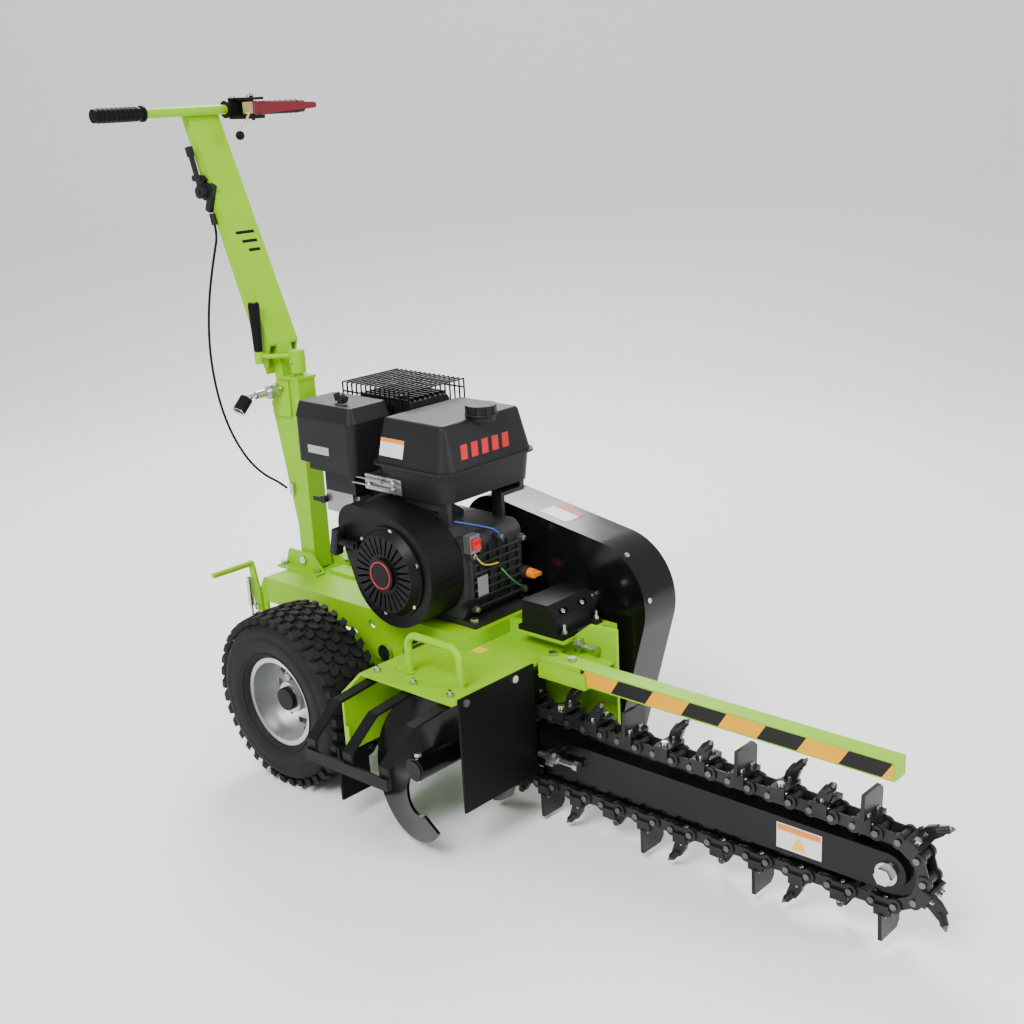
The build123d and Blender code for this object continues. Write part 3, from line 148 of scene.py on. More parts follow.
green = material("green_powder", (0.235, 0.51, 0.0), 0.34, bump=0.12, scale=420, coat=0.0, dirt=0.06,
                 specular=0.16)
tyre_mat = material("tyre_rubber", (0.008, 0.008, 0.0085), 0.7, bump=0.35, scale=350,
                    alt=(0.01, 0.01, 0.01), specular=0.22)
steel = material("galvanised", (0.56, 0.57, 0.58), 0.36, 0.9, 0.2, 90, dirt=0.25)
zinc = material("zinc_plate", (0.62, 0.62, 0.60), 0.28, 1.0, 0.1, 160, dirt=0.2)
yellow_zinc = material("yellow_zinc", (0.62, 0.48, 0.25), 0.3, 1.0, 0.1, 160, dirt=0.3)
bright_black = material("gloss_black", (0.003, 0.003, 0.0033), 0.17, bump=0.1, scale=300, coat=0.0,
                        alt=(0.005, 0.005, 0.0055), wear=(0.03, 0.03, 0.03), specular=0.26)
black = material("satin_black", (0.0045, 0.0045, 0.005), 0.4, bump=0.15, scale=420,
                 alt=(0.006, 0.006, 0.0065), specular=0.14)
chain_mat = material("chain_steel", (0.012, 0.012, 0.013), 0.3, 0.35, 0.25, 140, alt=(0.024, 0.024, 0.025),
                     wear=(0.12, 0.12, 0.12))
plastic = material("grey_plastic", (0.009, 0.0095, 0.0105), 0.46, bump=0.3, scale=900,
                   alt=(0.011, 0.0115, 0.0125), specular=0.2)
rubber = material("flap_rubber", (0.0045, 0.0045, 0.0045), 0.5, bump=0.2, scale=200,
                  alt=(0.005, 0.005, 0.005), specular=0.1)
cast = material("cast_alloy", (0.03, 0.031, 0.033), 0.46, 0.6, 0.55, 300, alt=(0.06, 0.06, 0.063))
carb = material("carb_alloy", (0.42, 0.42, 0.41), 0.36, 0.9, 0.4, 260, dirt=0.3)
red = material("lever_red", (0.16, 0.004, 0.014), 0.34, bump=0.1, scale=300, coat=0.2)
switch_red = material("switch_red", (0.55, 0.012, 0.02), 0.35, bump=0.1, scale=300)
orange = material("orange_plastic", (0.82, 0.25, 0.012), 0.4, bump=0.15, scale=300)
white = material("label_white", (0.72, 0.72, 0.71), 0.4, bump=0.05, scale=300, dirt=0.05)
yellow = material("label_yellow", (0.8, 0.55, 0.02), 0.4, bump=0.05, scale=300, dirt=0.06)
silver = material("label_silver", (0.45, 0.45, 0.46), 0.34, 0.6, 0.05, 300, dirt=0.1)
steel_dark = material("worn_steel", (0.16, 0.16, 0.16), 0.32, 0.9, 0.2, 200, dirt=0.35)
brass = material("brass", (0.62, 0.42, 0.14), 0.3, 1.0, 0.1, 200)
wire_mats = [material("wire_" + n, c, 0.4, bump=0.05, scale=300) for n, c in
             (("yellow", (0.6, 0.5, 0.03)), ("green", (0.05, 0.25, 0.04)), ("blue", (0.03, 0.08, 0.4)))]

tape = material("hazard_tape", (0.78, 0.36, 0.0), 0.38, bump=0.05, scale=300, dirt=0.08, specular=0.15)
_n, _l = tape.node_tree.nodes, tape.node_tree.links
_shader = _n["Principled BSDF"]
_tint = _shader.inputs["Base Color"].links[0].from_socket
_co = _n.new("ShaderNodeTexCoord")
_sep = _n.new("ShaderNodeSeparateXYZ")
_l.new(_co.outputs["Object"], _sep.inputs["Vector"])


def chain_math(operation, first, second):
    node = _n.new("ShaderNodeMath")
    node.operation = operation
    for i, value in enumerate((first, second)):
        if isinstance(value, float):
            node.inputs[i].default_value = value
        else:
            _l.new(value, node.inputs[i])
    return node.outputs[0]


STRIPE = 0.172
_slant = chain_math("ADD", _sep.outputs["X"], chain_math("MULTIPLY", _sep.outputs["Z"], -0.65))
_phase = chain_math("FRACT", chain_math("DIVIDE", chain_math("ADD", _slant, 4.0), STRIPE), 0.0)
_mask = chain_math("GREATER_THAN", _phase, 0.5)
_mix = _n.new("ShaderNodeMix")
_mix.data_type = "RGBA"
_l.new(_mask, _mix.inputs["Factor"])
_l.new(_tint, _mix.inputs["A"])
_mix.inputs["B"].default_value = (0.012, 0.012, 0.012, 1)
_l.new(_mix.outputs["Result"], _shader.inputs["Base Color"])

NODE_MATERIALS = {
    green: "engine_bed column auger_deck deck_handle head_frame mast safety_bar bar_bracket wheel_arm "
           "brake_lever crank",
    steel: "left_rim right_rim", zinc: "frame_fasteners jack_tube brake_spring jack_shaft drive_shaft "
           "engine_pulley idler_arm idler_roller mast_clamp",
    yellow_zinc: "lever_latch",
    bright_black: "boom belt_cover cover_backplate nose_idler",
    black: "guard_bars bearing_box auger fan_shroud recoil_cover muffler muffler_guard lever_bracket",
    chain_mat: "digging_chain chain_cutters head_sprocket",
    rubber: "rubber_flaps grips v_belts throttle_cable crank_grip",
    plastic: "fuel_tank starter_handle fuel_cap throttle_lever throttle_clamp wing_nut choke_lever "
             "air_cleaner",
    cast: "engine_block cylinder_head flywheel", carb: "carburettor", red: "clutch_lever",
    switch_red: "stop_rocker", orange: "dipstick", tyre_mat: "left_tyre right_tyre",
}
for mat, names in NODE_MATERIALS.items():
    for name in names.split():
        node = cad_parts[name]
        node.data.materials.clear()
        node.data.materials.append(mat)


# ---------------------------------------------------------------- mesh helpers
def finish_mesh(name, bm, mat, body, bevel=0.0, smooth=False):
    mesh = bpy.data.meshes.new(name)
    bmesh.ops.recalc_face_normals(bm, faces=bm.faces)
    bm.to_mesh(mesh)
    bm.free()
    obj = bpy.data.objects.new(name, mesh)
    bpy.context.scene.collection.objects.link(obj)
    mesh.materials.append(mat)
    if smooth:
        for face in mesh.polygons:
            face.use_smooth = True
    if bevel:
        mod = obj.modifiers.new("edges", "BEVEL")
        mod.width, mod.segments, mod.limit_method = bevel * MM, 2, "ANGLE"
    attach(obj, body)
    return obj


def add_rod(bm, start, end, r, segments=20, r_end=None):
    a, b = at(*start), at(*end)
    axis = b - a
    turn = axis.to_track_quat("Z", "Y").to_matrix().to_4x4()
    bmesh.ops.create_cone(bm, cap_ends=True, segments=segments, radius1=r * MM,
                          radius2=(r if r_end is None else r_end) * MM, depth=axis.length,
                          matrix=Matrix.Translation((a + b) / 2) @ turn)


def add_block(bm, x0, x1, y0, y1, z0, z1, turn=None):
    size = Matrix.Diagonal(((x1 - x0) * MM, (y1 - y0) * MM, (z1 - z0) * MM, 1))
    place = Matrix.Translation(at((x0 + x1) / 2, (y0 + y1) / 2, (z0 + z1) / 2))
    bmesh.ops.create_cube(bm, size=1.0, matrix=place @ (turn or Matrix.Identity(4)) @ size)


def add_ring(bm, centre, r, thick, axis="Y", segments=48, around=8):
    """A torus whose axis lies along one of the frame's axes."""
    rows = []
    for i in range(segments):
        a = 2 * math.pi * i / segments
        row = []
        for j in range(around):
            b = 2 * math.pi * j / around
            rad, off = r + thick * math.cos(b), thick * math.sin(b)
            if axis == "Y":
                point = (rad * math.cos(a), off, rad * math.sin(a))
            elif axis == "X":
                point = (off, rad * math.cos(a), rad * math.sin(a))
            else:
                point = (rad * math.cos(a), rad * math.sin(a), off)
            row.append(bm.verts.new(at(*[c + p for c, p in zip(centre, point)])))
        rows.append(row)
    for i in range(segments):
        for j in range(around):
            k, m = (i + 1) % segments, (j + 1) % around
            bm.faces.new((rows[i][j], rows[k][j], rows[k][m], rows[i][m]))


def wire(name, points, r, mat, body):
    curve = bpy.data.curves.new(name, "CURVE")
    curve.dimensions = "3D"
    curve.bevel_depth = r * MM
    curve.bevel_resolution = 3
    spline = curve.splines.new("NURBS")
    spline.points.add(len(points) - 1)
    for point, target in zip(spline.points, points):
        point.co = (*at(*target), 1)
    spline.order_u = 3
    spline.use_endpoint_u = True
    obj = bpy.data.objects.new(name, curve)
    bpy.context.scene.collection.objects.link(obj)
    curve.materials.append(mat)
    if body:
        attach(obj, body)
    return obj


# ---------------------------------------------------------------- tyres
def tyre(side):
    """Turf tyre: carcass with sidewall rings, and staggered zig-zag tread blocks."""
    body = side + "_wheel"
    low, high = mm_box(side + "_tyre")
    y_mid, half = (low[1] + high[1]) / 2, (high[1] - low[1]) / 2
    z = (low[2] + high[2]) / 2
    r_out, bead = TYRE_R, 104.0
    floor = r_out - 8.0
    profile = [(-half + 16, bead), (-half + 5, bead + 10), (-half + 1, bead + 30), (-half, bead + 44),
               (-half + 1, bead + 47), (-half + 3.4, bead + 50), (-half + 1.5, bead + 58),
               (-half + 4, bead + 72), (-half + 13, floor - 14), (-half + 28, floor - 3),
               (-half + 52, floor), (half - 52, floor), (half - 28, floor - 3), (half - 13, floor - 14),
               (half - 4, bead + 72), (half - 1.5, bead + 58), (half - 3.4, bead + 50),
               (half - 1, bead + 47), (half, bead + 44), (half - 1, bead + 30),
               (half - 5, bead + 10), (half - 16, bead)]
    bm = bmesh.new()
    segments = 144
    rows = []
    for i in range(segments):
        a = 2 * math.pi * i / segments
        rows.append([bm.verts.new(at(r * math.cos(a), y_mid + y, z + r * math.sin(a))) for y, r in profile])
    count = len(profile)
    for i in range(segments):
        k = (i + 1) % segments
        for j in range(count):
            m = (j + 1) % count
            bm.faces.new((rows[i][j], rows[k][j], rows[k][m], rows[i][m]))
    obj = finish_mesh(side + "_tyre_carcass", bm, tyre_mat, body, smooth=True)
    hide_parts(side + "_tyre")

    bm = bmesh.new()
    lanes = [(-60, 23), (-36, 22), (-12, 22), (12, 22), (36, 22), (60, 23)]
    blocks = 38
    for lane, (y, width) in enumerate(lanes):
        for i in range(blocks):
            mid = 2 * math.pi * (i + 0.5 * (lane % 2)) / blocks
            sweep = 2 * math.pi / blocks * 0.42
            zig = 0.05 * (1 if lane % 2 else -1)
            outline = [(-1, -0.62), (0, -0.96), (1, -0.62), (1, 0.72), (0, 0.38), (-1, 0.72)]
            rings = []
            for level, taper in ((0, 1.0), (1, 0.9)):
                ring = []
                for u, v in outline:
                    a, off = mid + v * sweep * taper + u * zig * 0.4, y + u * width / 2 * taper
                    crown = 0.0021 * max(0.0, abs(off) - 22) ** 2
                    r = r_out - 0.6 - crown - (0 if level else 10 + 0.25 * max(0.0, abs(off) - 50))
                    ring.append(bm.verts.new(at(r * math.cos(a), y_mid + off, z + r * math.sin(a))))
                rings.append(ring)
            bm.faces.new(rings[1])
            for j in range(6):
                m = (j + 1) % 6
                bm.faces.new((rings[0][j], rings[0][m], rings[1][m], rings[1][j]))
    finish_mesh(side + "_tread", bm, tyre_mat, body)

    bm = bmesh.new()
    sign = 1 if side == "left" else -1
    for r in (bead + 12, bead + 24, bead + 62):
        add_ring(bm, (0, y_mid + sign * (half - 4.0), z), r, 1.6, segments=120)
    for _ in range(150):
        a, r = random.uniform(0, 2 * math.pi), random.uniform(r_out - 34, r_out - 18)
        y = y_mid + sign * (half - 9)
        add_rod(bm, (r * math.cos(a), y, z + r * math.sin(a)),
                ((r + 2) * math.cos(a), y + sign * 7, z + (r + 2) * math.sin(a)), 0.5, 6)
    finish_mesh(side + "_sidewall", bm, tyre_mat, body, smooth=True)

    bm = bmesh.new()
    add_rod(bm, (78, y_mid + sign * 46, z - 40), (82, y_mid + sign * 62, z - 43), 4, 12)
    finish_mesh(side + "_valve", bm, rubber, body)
    bm = bmesh.new()
    add_rod(bm, (0, y_mid + sign * 34, z), (0, y_mid + sign * 48, z), 27, 32)
    finish_mesh(side + "_hub_cap", bm, black, body, bevel=2)


for side in ("left", "right"):
    tyre(side)


# ---------------------------------------------------------------- safety bar, labels and marks
low, high = mm_box("safety_bar")
bm = bmesh.new()
add_block(bm, low[0] + 108, high[0] - 4, low[1] - 0.35, low[1] - 0.05, low[2] + 3, high[2] - 3)
finish_mesh("hazard_strip", bm, tape, "chassis")

low, high = mm_box("boom")
label_x = low[0] + 628
bm = bmesh.new()
add_block(bm, label_x, label_x + 96, low[1] - 0.4, low[1] - 0.1, 140, 192)
finish_mesh("boom_label", bm, white, "chassis")
bm = bmesh.new()
add_block(bm, label_x + 2, label_x + 94, low[1] - 0.7, low[1] - 0.4, 178, 190)
finish_mesh("boom_label_band", bm, orange, "chassis")
bm = bmesh.new()
points = [(label_x + 32, 145), (label_x + 64, 145), (label_x + 48, 174)]
bm.faces.new([bm.verts.new(at(x, low[1] - 0.6, z)) for x, z in points])
finish_mesh("boom_label_sign", bm, yellow, "chassis")

_, deck_high = mm_box("auger_deck")
bm = bmesh.new()
add_block(bm, 418, 446, -122, -96, deck_high[2] + 0.05, deck_high[2] + 0.35)
finish_mesh("deck_label", bm, yellow, "chassis")

# a plain mark on the mast's front face: three bars, each shorter than the one above
bm = bmesh.new()
tilt = Matrix.Rotation(math.atan2(-212.5, 512), 4, "Y")


def mast_panel(mesh, up, y0, y1, tall, proud):
    """A thin panel on the mast's front face; up is its centre's height from the ground."""
    x = -475 + (1455 - up) * 212.5 / 512
    add_block(mesh, x + proud - 0.2, x + proud + 0.2, y0, y1, up - tall / 2, up + tall / 2, tilt)


mast_panel(bm, 1190, -26, 26, 7, 0.3)
mast_panel(bm, 1170, -16, 26, 7, 0.3)
mast_panel(bm, 1150, -6, 26, 7, 0.3)
finish_mesh("mast_mark", bm, black, "mast")

# ---------------------------------------------------------------- engine dress
tank_low, tank_high = mm_box("fuel_tank")
CRANK_X, CRANK_Z = 254.0, 526.0
COVER_FRONT_X, COVER_FRONT_Z, COVER_FRONT_R, COVER_REAR_R = 548, 424, 140, 88
CRANKCASE_BOSSES = ((-66, 432), (-66, 552), (90, 432), (90, 552), (20, 574))
recoil_low, _ = mm_box("recoil_cover")
bm = bmesh.new()
add_ring(bm, (CRANK_X, recoil_low[1] - 0.2, CRANK_Z), 29, 1.6)
finish_mesh("recoil_ring", bm, switch_red, "chassis", smooth=True)
bm = bmesh.new()
add_rod(bm, (CRANK_X, recoil_low[1] - 0.5, CRANK_Z), (CRANK_X, recoil_low[1] + 1, CRANK_Z), 24, 40)
finish_mesh("recoil_centre", bm, black, "chassis")
bm = bmesh.new()
for i in range(6):
    a = math.radians(60 * i + 20)
    add_rod(bm, (CRANK_X + 96 * math.cos(a), -193, CRANK_Z + 96 * math.sin(a)),
            (CRANK_X + 96 * math.cos(a), -189, CRANK_Z + 96 * math.sin(a)), 5, 6)
finish_mesh("recoil_screws", bm, zinc, "chassis")

bm = bmesh.new()
for i in range(9):
    a = math.radians(-20 + i * 7)
    x, z = CRANK_X + 122.4 * math.cos(a), CRANK_Z - 4 + 122.4 * math.sin(a)
    turn = Matrix.Rotation(-a, 4, "Y")
    add_block(bm, x - 1.4, x + 1.4, -172, -104, z - 2.6, z + 2.6, turn)
finish_mesh("shroud_louvres", bm, black, "chassis", bevel=0.8)

bm = bmesh.new()
for i in range(7):
    z = 430 + 19 * i
    add_block(bm, 379, 384, -60, 84, z, z + 5)
for y, z in CRANKCASE_BOSSES:
    add_rod(bm, (372, y, z), (388, y, z), 9, 20)
finish_mesh("crankcase_ribs", bm, cast, "chassis", bevel=1)
bm = bmesh.new()
for y, z in CRANKCASE_BOSSES:
    add_rod(bm, (388, y, z), (393, y, z), 6, 6)
finish_mesh("crankcase_bolts", bm, zinc, "chassis", bevel=0.5)
bm = bmesh.new()
add_block(bm, 384.2, 384.6, -56, -24, 456, 500)
finish_mesh("data_plate", bm, silver, "chassis")
bm = bmesh.new()
add_block(bm, 377, 385, -100, 34, 440, 452)
finish_mesh("switch_mount", bm, black, "chassis", bevel=1)

for name, route, mat in (
        ("switch_wire", [(386, -64, 560), (392, -58, 540), (390, -30, 520), (384, 10, 516)], wire_mats[0]),
        ("sensor_wire", [(384, 20, 500), (396, 30, 480), (394, 60, 452), (384, 84, 440)], wire_mats[1]),
        ("coil_wire", [(384, 30, 560), (392, 10, 590), (380, -20, 606), (330, -60, 618)], wire_mats[2])):
    wire(name, route, 1.8, mat, "chassis")
wire("plug_lead", [(160, -90, 600), (90, -100, 588), (40, -96, 548), (22, -60, 530), (14, -20, 534)], 3.6,
     rubber, "chassis")
wire("fuel_hose", [(180, -88, 668), (150, -108, 650), (96, -104, 630), (58, -88, 622)], 3.4,
     rubber, "chassis")

bm = bmesh.new()
seam = 729
for i in range(8):
    for y in (tank_low[1] + 6, tank_high[1] - 6):
        x = tank_low[0] + 30 + i * (tank_high[0] - tank_low[0] - 60) / 7
        add_rod(bm, (x, y, seam + 3), (x, y, seam + 3.8), 2.2, 10)
finish_mesh("tank_spot_welds", bm, plastic, "chassis")
bm = bmesh.new()
add_ring(bm, (326, 44, tank_high[2] - 1), 33, 3, axis="Z")
finish_mesh("filler_ring", bm, plastic, "chassis", smooth=True)


def tank_side_height(z, inset_per_mm=math.tan(math.radians(14))):
    """How far the upper half's side has leaned in at height z."""
    return 5 + (z - 732) * inset_per_mm


for name, x0, x1, z0, z1, mat in (("tank_label", 150, 222, 748, 786, white),
                                  ("tank_band", 150, 222, 778, 786, orange)):
    bm = bmesh.new()
    proud = 0.5 if mat is white else 0.9
    corners = [(x0, z0), (x1, z0), (x1, z1), (x0, z1)]
    bm.faces.new([bm.verts.new(at(x, tank_low[1] + tank_side_height(z) - proud, z)) for x, z in corners])
    finish_mesh(name, bm, mat, "chassis")
bm = bmesh.new()
for i in range(5):
    y = -44 + i * 32
    corners = [(y, 752), (y + 20, 752), (y + 26, 782), (y + 6, 782)]
    bm.faces.new([bm.verts.new(at(tank_high[0] - tank_side_height(z) + 0.5, y_, z)) for y_, z in corners])
finish_mesh("tank_side_mark", bm, switch_red, "chassis")

air_low, air_high = mm_box("air_cleaner")
bm = bmesh.new()
add_block(bm, -60, 10, air_low[1] + 1.2, air_low[1] + 1.6, 730, 748)
finish_mesh("air_label", bm, silver, "chassis")
bm = bmesh.new()
add_rod(bm, (20, -80, air_high[2] - 1), (20, -80, air_high[2] + 1.5), 12, 28)
finish_mesh("wing_nut_washer", bm, zinc, "chassis")

# governor springs and bolts on the linkage plate
spring_points = []
for i in range(160):
    a = i * 0.55
    spring_points.append((112 + i * 0.32, -106 + 3.4 * math.cos(a), 700 + 3.4 * math.sin(a)))
wire("governor_spring", spring_points, 0.7, zinc, "chassis")
bm = bmesh.new()
for x, z in ((120, 680), (196, 680), (196, 694)):
    add_rod(bm, (x, -101, z), (x, -108, z), 5, 6)
finish_mesh("governor_bolts", bm, zinc, "chassis", bevel=0.4)

# ---------------------------------------------------------------- auger
sprocket_low, sprocket_high = mm_box("head_sprocket")
HEAD_X, HEAD_Z = (sprocket_low[0] + sprocket_high[0]) / 2, (sprocket_low[2] + sprocket_high[2]) / 2
auger_low, auger_high = mm_box("auger")
AUGER_R = (auger_high[2] - auger_low[2]) / 2
bm = bmesh.new()
steps, turn = 160, 400.0
y_in, y_out, thick = auger_high[1] - 10, auger_low[1] + 7, 7.0
rings = []
for i in range(steps + 1):
    t = i / steps
    a = math.radians(324 - turn * (1 - t))
    taper = max(0.0, (t - 0.76) / 0.24)
    r_in = 25.0 + 72 * taper ** 0.8
    y = y_in + (y_out - y_in) * t
    ring = [(r_in, 0), (AUGER_R - 0.6, 0), (AUGER_R - 0.6, -thick), (r_in, -thick)]
    rings.append([bm.verts.new(at(HEAD_X + r * math.cos(a), y + dy, HEAD_Z + r * math.sin(a)))
                  for r, dy in ring])
for near, far in zip(rings, rings[1:]):
    for j in range(4):
        bm.faces.new((near[j], near[(j + 1) % 4], far[(j + 1) % 4], far[j]))
bm.faces.new(rings[0])
bm.faces.new(list(reversed(rings[-1])))
flight = finish_mesh("auger_flight", bm, bright_black, "drive_shaft", smooth=True)
split = flight.modifiers.new("split", "EDGE_SPLIT")
split.split_angle = math.radians(35)
bm = bmesh.new()
add_rod(bm, (HEAD_X, -318, HEAD_Z), (HEAD_X, -112, HEAD_Z), 26, 40)
add_rod(bm, (HEAD_X, -320.6, HEAD_Z), (HEAD_X, -317, HEAD_Z), 21, 32)
tube = finish_mesh("auger_tube", bm, bright_black, "drive_shaft", bevel=1)
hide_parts("auger")
bm = bmesh.new()
add_rod(bm, (HEAD_X, -306, HEAD_Z - 34), (HEAD_X, -306, HEAD_Z + 34), 5, 16)
add_rod(bm, (HEAD_X, -306, HEAD_Z + 26), (HEAD_X, -306, HEAD_Z + 35), 8, 6)
finish_mesh("auger_bolts", bm, zinc, "drive_shaft", bevel=0.5)

# ---------------------------------------------------------------- digging chain details
def loose_parts(node):
    """The corners of every separate solid of a node, in the axle frame, in mm."""
    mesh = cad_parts[node].data
    parent = list(range(len(mesh.vertices)))

    def root(i):
        while parent[i] != i:
            parent[i] = parent[parent[i]]
            i = parent[i]
        return i

    places = {}
    for vertex in mesh.vertices:
        key = tuple(round(c, 6) for c in vertex.co)
        if key in places:
            parent[root(vertex.index)] = root(places[key])
        places.setdefault(key, vertex.index)
    for edge in mesh.edges:
        parent[root(edge.vertices[0])] = root(edge.vertices[1])
    groups = {}
    for vertex in mesh.vertices:
        groups.setdefault(root(vertex.index), []).append(vertex.co)
    for points in groups.values():
        low = [min(p[k] for p in points) for k in range(3)]
        high = [max(p[k] for p in points) for k in range(3)]
        yield ([(low[0] - AXLE_X) / MM, (low[1] - MID_Y) / MM, low[2] / MM],
               [(high[0] - AXLE_X) / MM, (high[1] - MID_Y) / MM, high[2] / MM])


chain_low, chain_high = mm_box("digging_chain")
CHAIN_Y = (chain_low[1] + chain_high[1]) / 2
PIN_R = 5.3
pins = [((a[0] + b[0]) / 2, (a[2] + b[2]) / 2) for a, b in loose_parts("digging_chain")
        if b[1] - a[1] > 50 and b[0] - a[0] < 2.4 * PIN_R]
top_pins = [p for p in pins if p[1] > HEAD_Z]
walk = [min(top_pins, key=lambda p: abs(p[0] - HEAD_X) + 0.001 * p[0])]
ahead = [p for p in top_pins if p[0] > walk[0][0] + 10]
if ahead:
    walk.append(min(ahead, key=lambda p: math.dist(p, walk[0])))
left = [p for p in pins if p not in walk]
while left:
    nearest = min(left, key=lambda p: math.dist(p, walk[-1]))
    walk.append(nearest)
    left.remove(nearest)

ends, bolts, tips = bmesh.new(), bmesh.new(), bmesh.new()
for x, z in walk:
    for side in (-1, 1):
        add_rod(ends, (x, CHAIN_Y + side * 27, z), (x, CHAIN_Y + side * 28, z), 6.6, 18)
for n, i in enumerate(range(0, len(walk) - 1, 2)):
    (xa, za), (xb, zb) = walk[i], walk[i + 1]
    angle = math.atan2(zb - za, xb - xa)
    link = Matrix.Translation(at((xa + xb) / 2, CHAIN_Y, (za + zb) / 2)) @ Matrix.Rotation(-angle, 4, "Y")
    for y in (-17, 17):
        bmesh.ops.create_cone(bolts, cap_ends=True, segments=6,
                              radius1=8.2 * MM, radius2=7.4 * MM, depth=7.6 * MM,
                              matrix=link @ Matrix.Translation((0, y * MM, 27 * MM)))
    if n % 3 != 1:
        side = -1 if n % 3 == 0 else 1
        lean = Matrix.Rotation(math.radians(-side * 20), 4, "X") @ Matrix.Rotation(math.radians(40), 4, "Y")
        tooth = link @ Matrix.Translation((16 * MM, side * 20 * MM, 56 * MM)) @ lean
        bmesh.ops.create_cone(tips, cap_ends=True, segments=24,
                              radius1=8.0 * MM, radius2=2.2 * MM, depth=12.4 * MM,
                              matrix=tooth @ Matrix.Translation((0, 0, 15.2 * MM)))
finish_mesh("chain_pin_ends", ends, steel_dark, "chassis", bevel=0.6)
finish_mesh("cutter_bolts", bolts, zinc, "chassis", bevel=0.5)
finish_mesh("tooth_tips", tips, steel_dark, "chassis", smooth=True)

bearing_low, _ = mm_box("bearing_box")
bm = bmesh.new()
add_rod(bm, (540, bearing_low[1] - 0.6, 428), (540, bearing_low[1] + 1.5, 428), 17, 32)
finish_mesh("bearing_cap", bm, black, "chassis", bevel=0.5)
for name, y in (("bearing_bolt_near", 0), ("bearing_bolt_far", 62)):
    bm = bmesh.new()
    add_rod(bm, (570, y, 444), (575, y, 450), 6, 6)
    finish_mesh(name, bm, zinc, "chassis", bevel=0.5)

# ---------------------------------------------------------------- belt cover
bm = bmesh.new()
for i in range(9):
    a = math.radians(-35 + i * 15)
    x, z = COVER_FRONT_X + 140.2 * math.cos(a), COVER_FRONT_Z + 140.2 * math.sin(a)
    if i % 3 == 0:
        add_rod(bm, (x, 152, z), (x + 3 * math.cos(a), 152, z + 3 * math.sin(a)), 6, 16)
finish_mesh("cover_screws", bm, zinc, "chassis", bevel=0.5)


def cover_top(x):
    """Height of the cover's upper edge between its two round ends."""
    run, rise = COVER_FRONT_X - 254, COVER_FRONT_Z - 526
    length = math.hypot(run, rise)
    lean = math.asin((COVER_REAR_R - COVER_FRONT_R) / length)
    heading = math.atan2(rise, run)
    normal = heading + math.pi / 2 - lean
    ax, az = 254 + COVER_REAR_R * math.cos(normal), 526 + COVER_REAR_R * math.sin(normal)
    bx = COVER_FRONT_X + COVER_FRONT_R * math.cos(normal)
    bz = COVER_FRONT_Z + COVER_FRONT_R * math.sin(normal)
    return az + (x - ax) * (bz - az) / (bx - ax)


for name, x0, x1, y0, y1, mat, proud in (("cover_label", 380, 456, 158, 222, white, 0.5),
                                         ("cover_label_band", 380, 456, 204, 222, switch_red, 0.9)):
    bm = bmesh.new()
    corners = ((x0, y0), (x1, y0), (x1, y1), (x0, y1))
    bm.faces.new([bm.verts.new(at(x, y, cover_top(x) + proud)) for x, y in corners])
    finish_mesh(name, bm, mat, "chassis")

# ---------------------------------------------------------------- welds
def weld(mesh, a, b, r=2.6):
    steps = max(3, int((Vector(b) - Vector(a)).length / 4))
    for i in range(steps + 1):
        t = i / steps
        spot = at(*[p + (q - p) * t for p, q in zip(a, b)])
        bmesh.ops.create_icosphere(mesh, subdivisions=1, radius=r * MM * random.uniform(0.85, 1.1),
                                   matrix=Matrix.Translation(spot))


bm = bmesh.new()
for x in (394, 540):
    for i in range(14):
        a = 2 * math.pi * i / 14
        spot = at(x + 9 * math.cos(a), -278 + 9 * math.sin(a), deck_high[2] + 0.5)
        bmesh.ops.create_icosphere(bm, subdivisions=1, radius=2.4 * MM, matrix=Matrix.Translation(spot))
weld(bm, (-245, -26, 401), (-192, -26, 401))
weld(bm, (582, -93.5, 339), (700, -93.5, 339), 2.0)
finish_mesh("frame_welds", bm, green, "chassis", smooth=True)
bm = bmesh.new()
for y in (-43, 43):
    weld(bm, (-476, y * 0.98, 1448), (-498, y * 0.98, 1448))
finish_mesh("mast_welds", bm, green, "mast", smooth=True)

# ---------------------------------------------------------------- controls
bm = bmesh.new()
for x, y, z in ((-446, 66, 1489), (-440, 108, 1489), (-413, 96, 1493)):
    add_rod(bm, (x, y, z - 2), (x, y, z + 5), 6, 6)
finish_mesh("bracket_bolts", bm, zinc, "mast", bevel=0.6)
bm = bmesh.new()
bmesh.ops.create_uvsphere(bm, u_segments=24, v_segments=14, radius=10.4 * MM,
                          matrix=Matrix.Translation(at(-385, 31, 1405)))
finish_mesh("latch_knob", bm, rubber, "lever_latch", smooth=True)
bm = bmesh.new()
knob_axis = Vector((0.1, -0.75, -0.65)).normalized()
knob_mid = Vector((-287, -118, 809))
add_rod(bm, tuple(knob_mid - knob_axis * 20), tuple(knob_mid + knob_axis * 20), 15.4, 36)
finish_mesh("clamp_knob", bm, rubber, "mast_clamp", bevel=2)
bm = bmesh.new()
add_rod(bm, (-243, -26, 838), (-243, -38, 838), 4.5, 16)
finish_mesh("column_nipple", bm, brass, "chassis")
bm = bmesh.new()
for i in range(16):
    add_rod(bm, (-262, -46 - i, 831), (-262, -45.4 - i, 831), 15.6, 32)
finish_mesh("clamp_collar", bm, zinc, "mast_clamp")

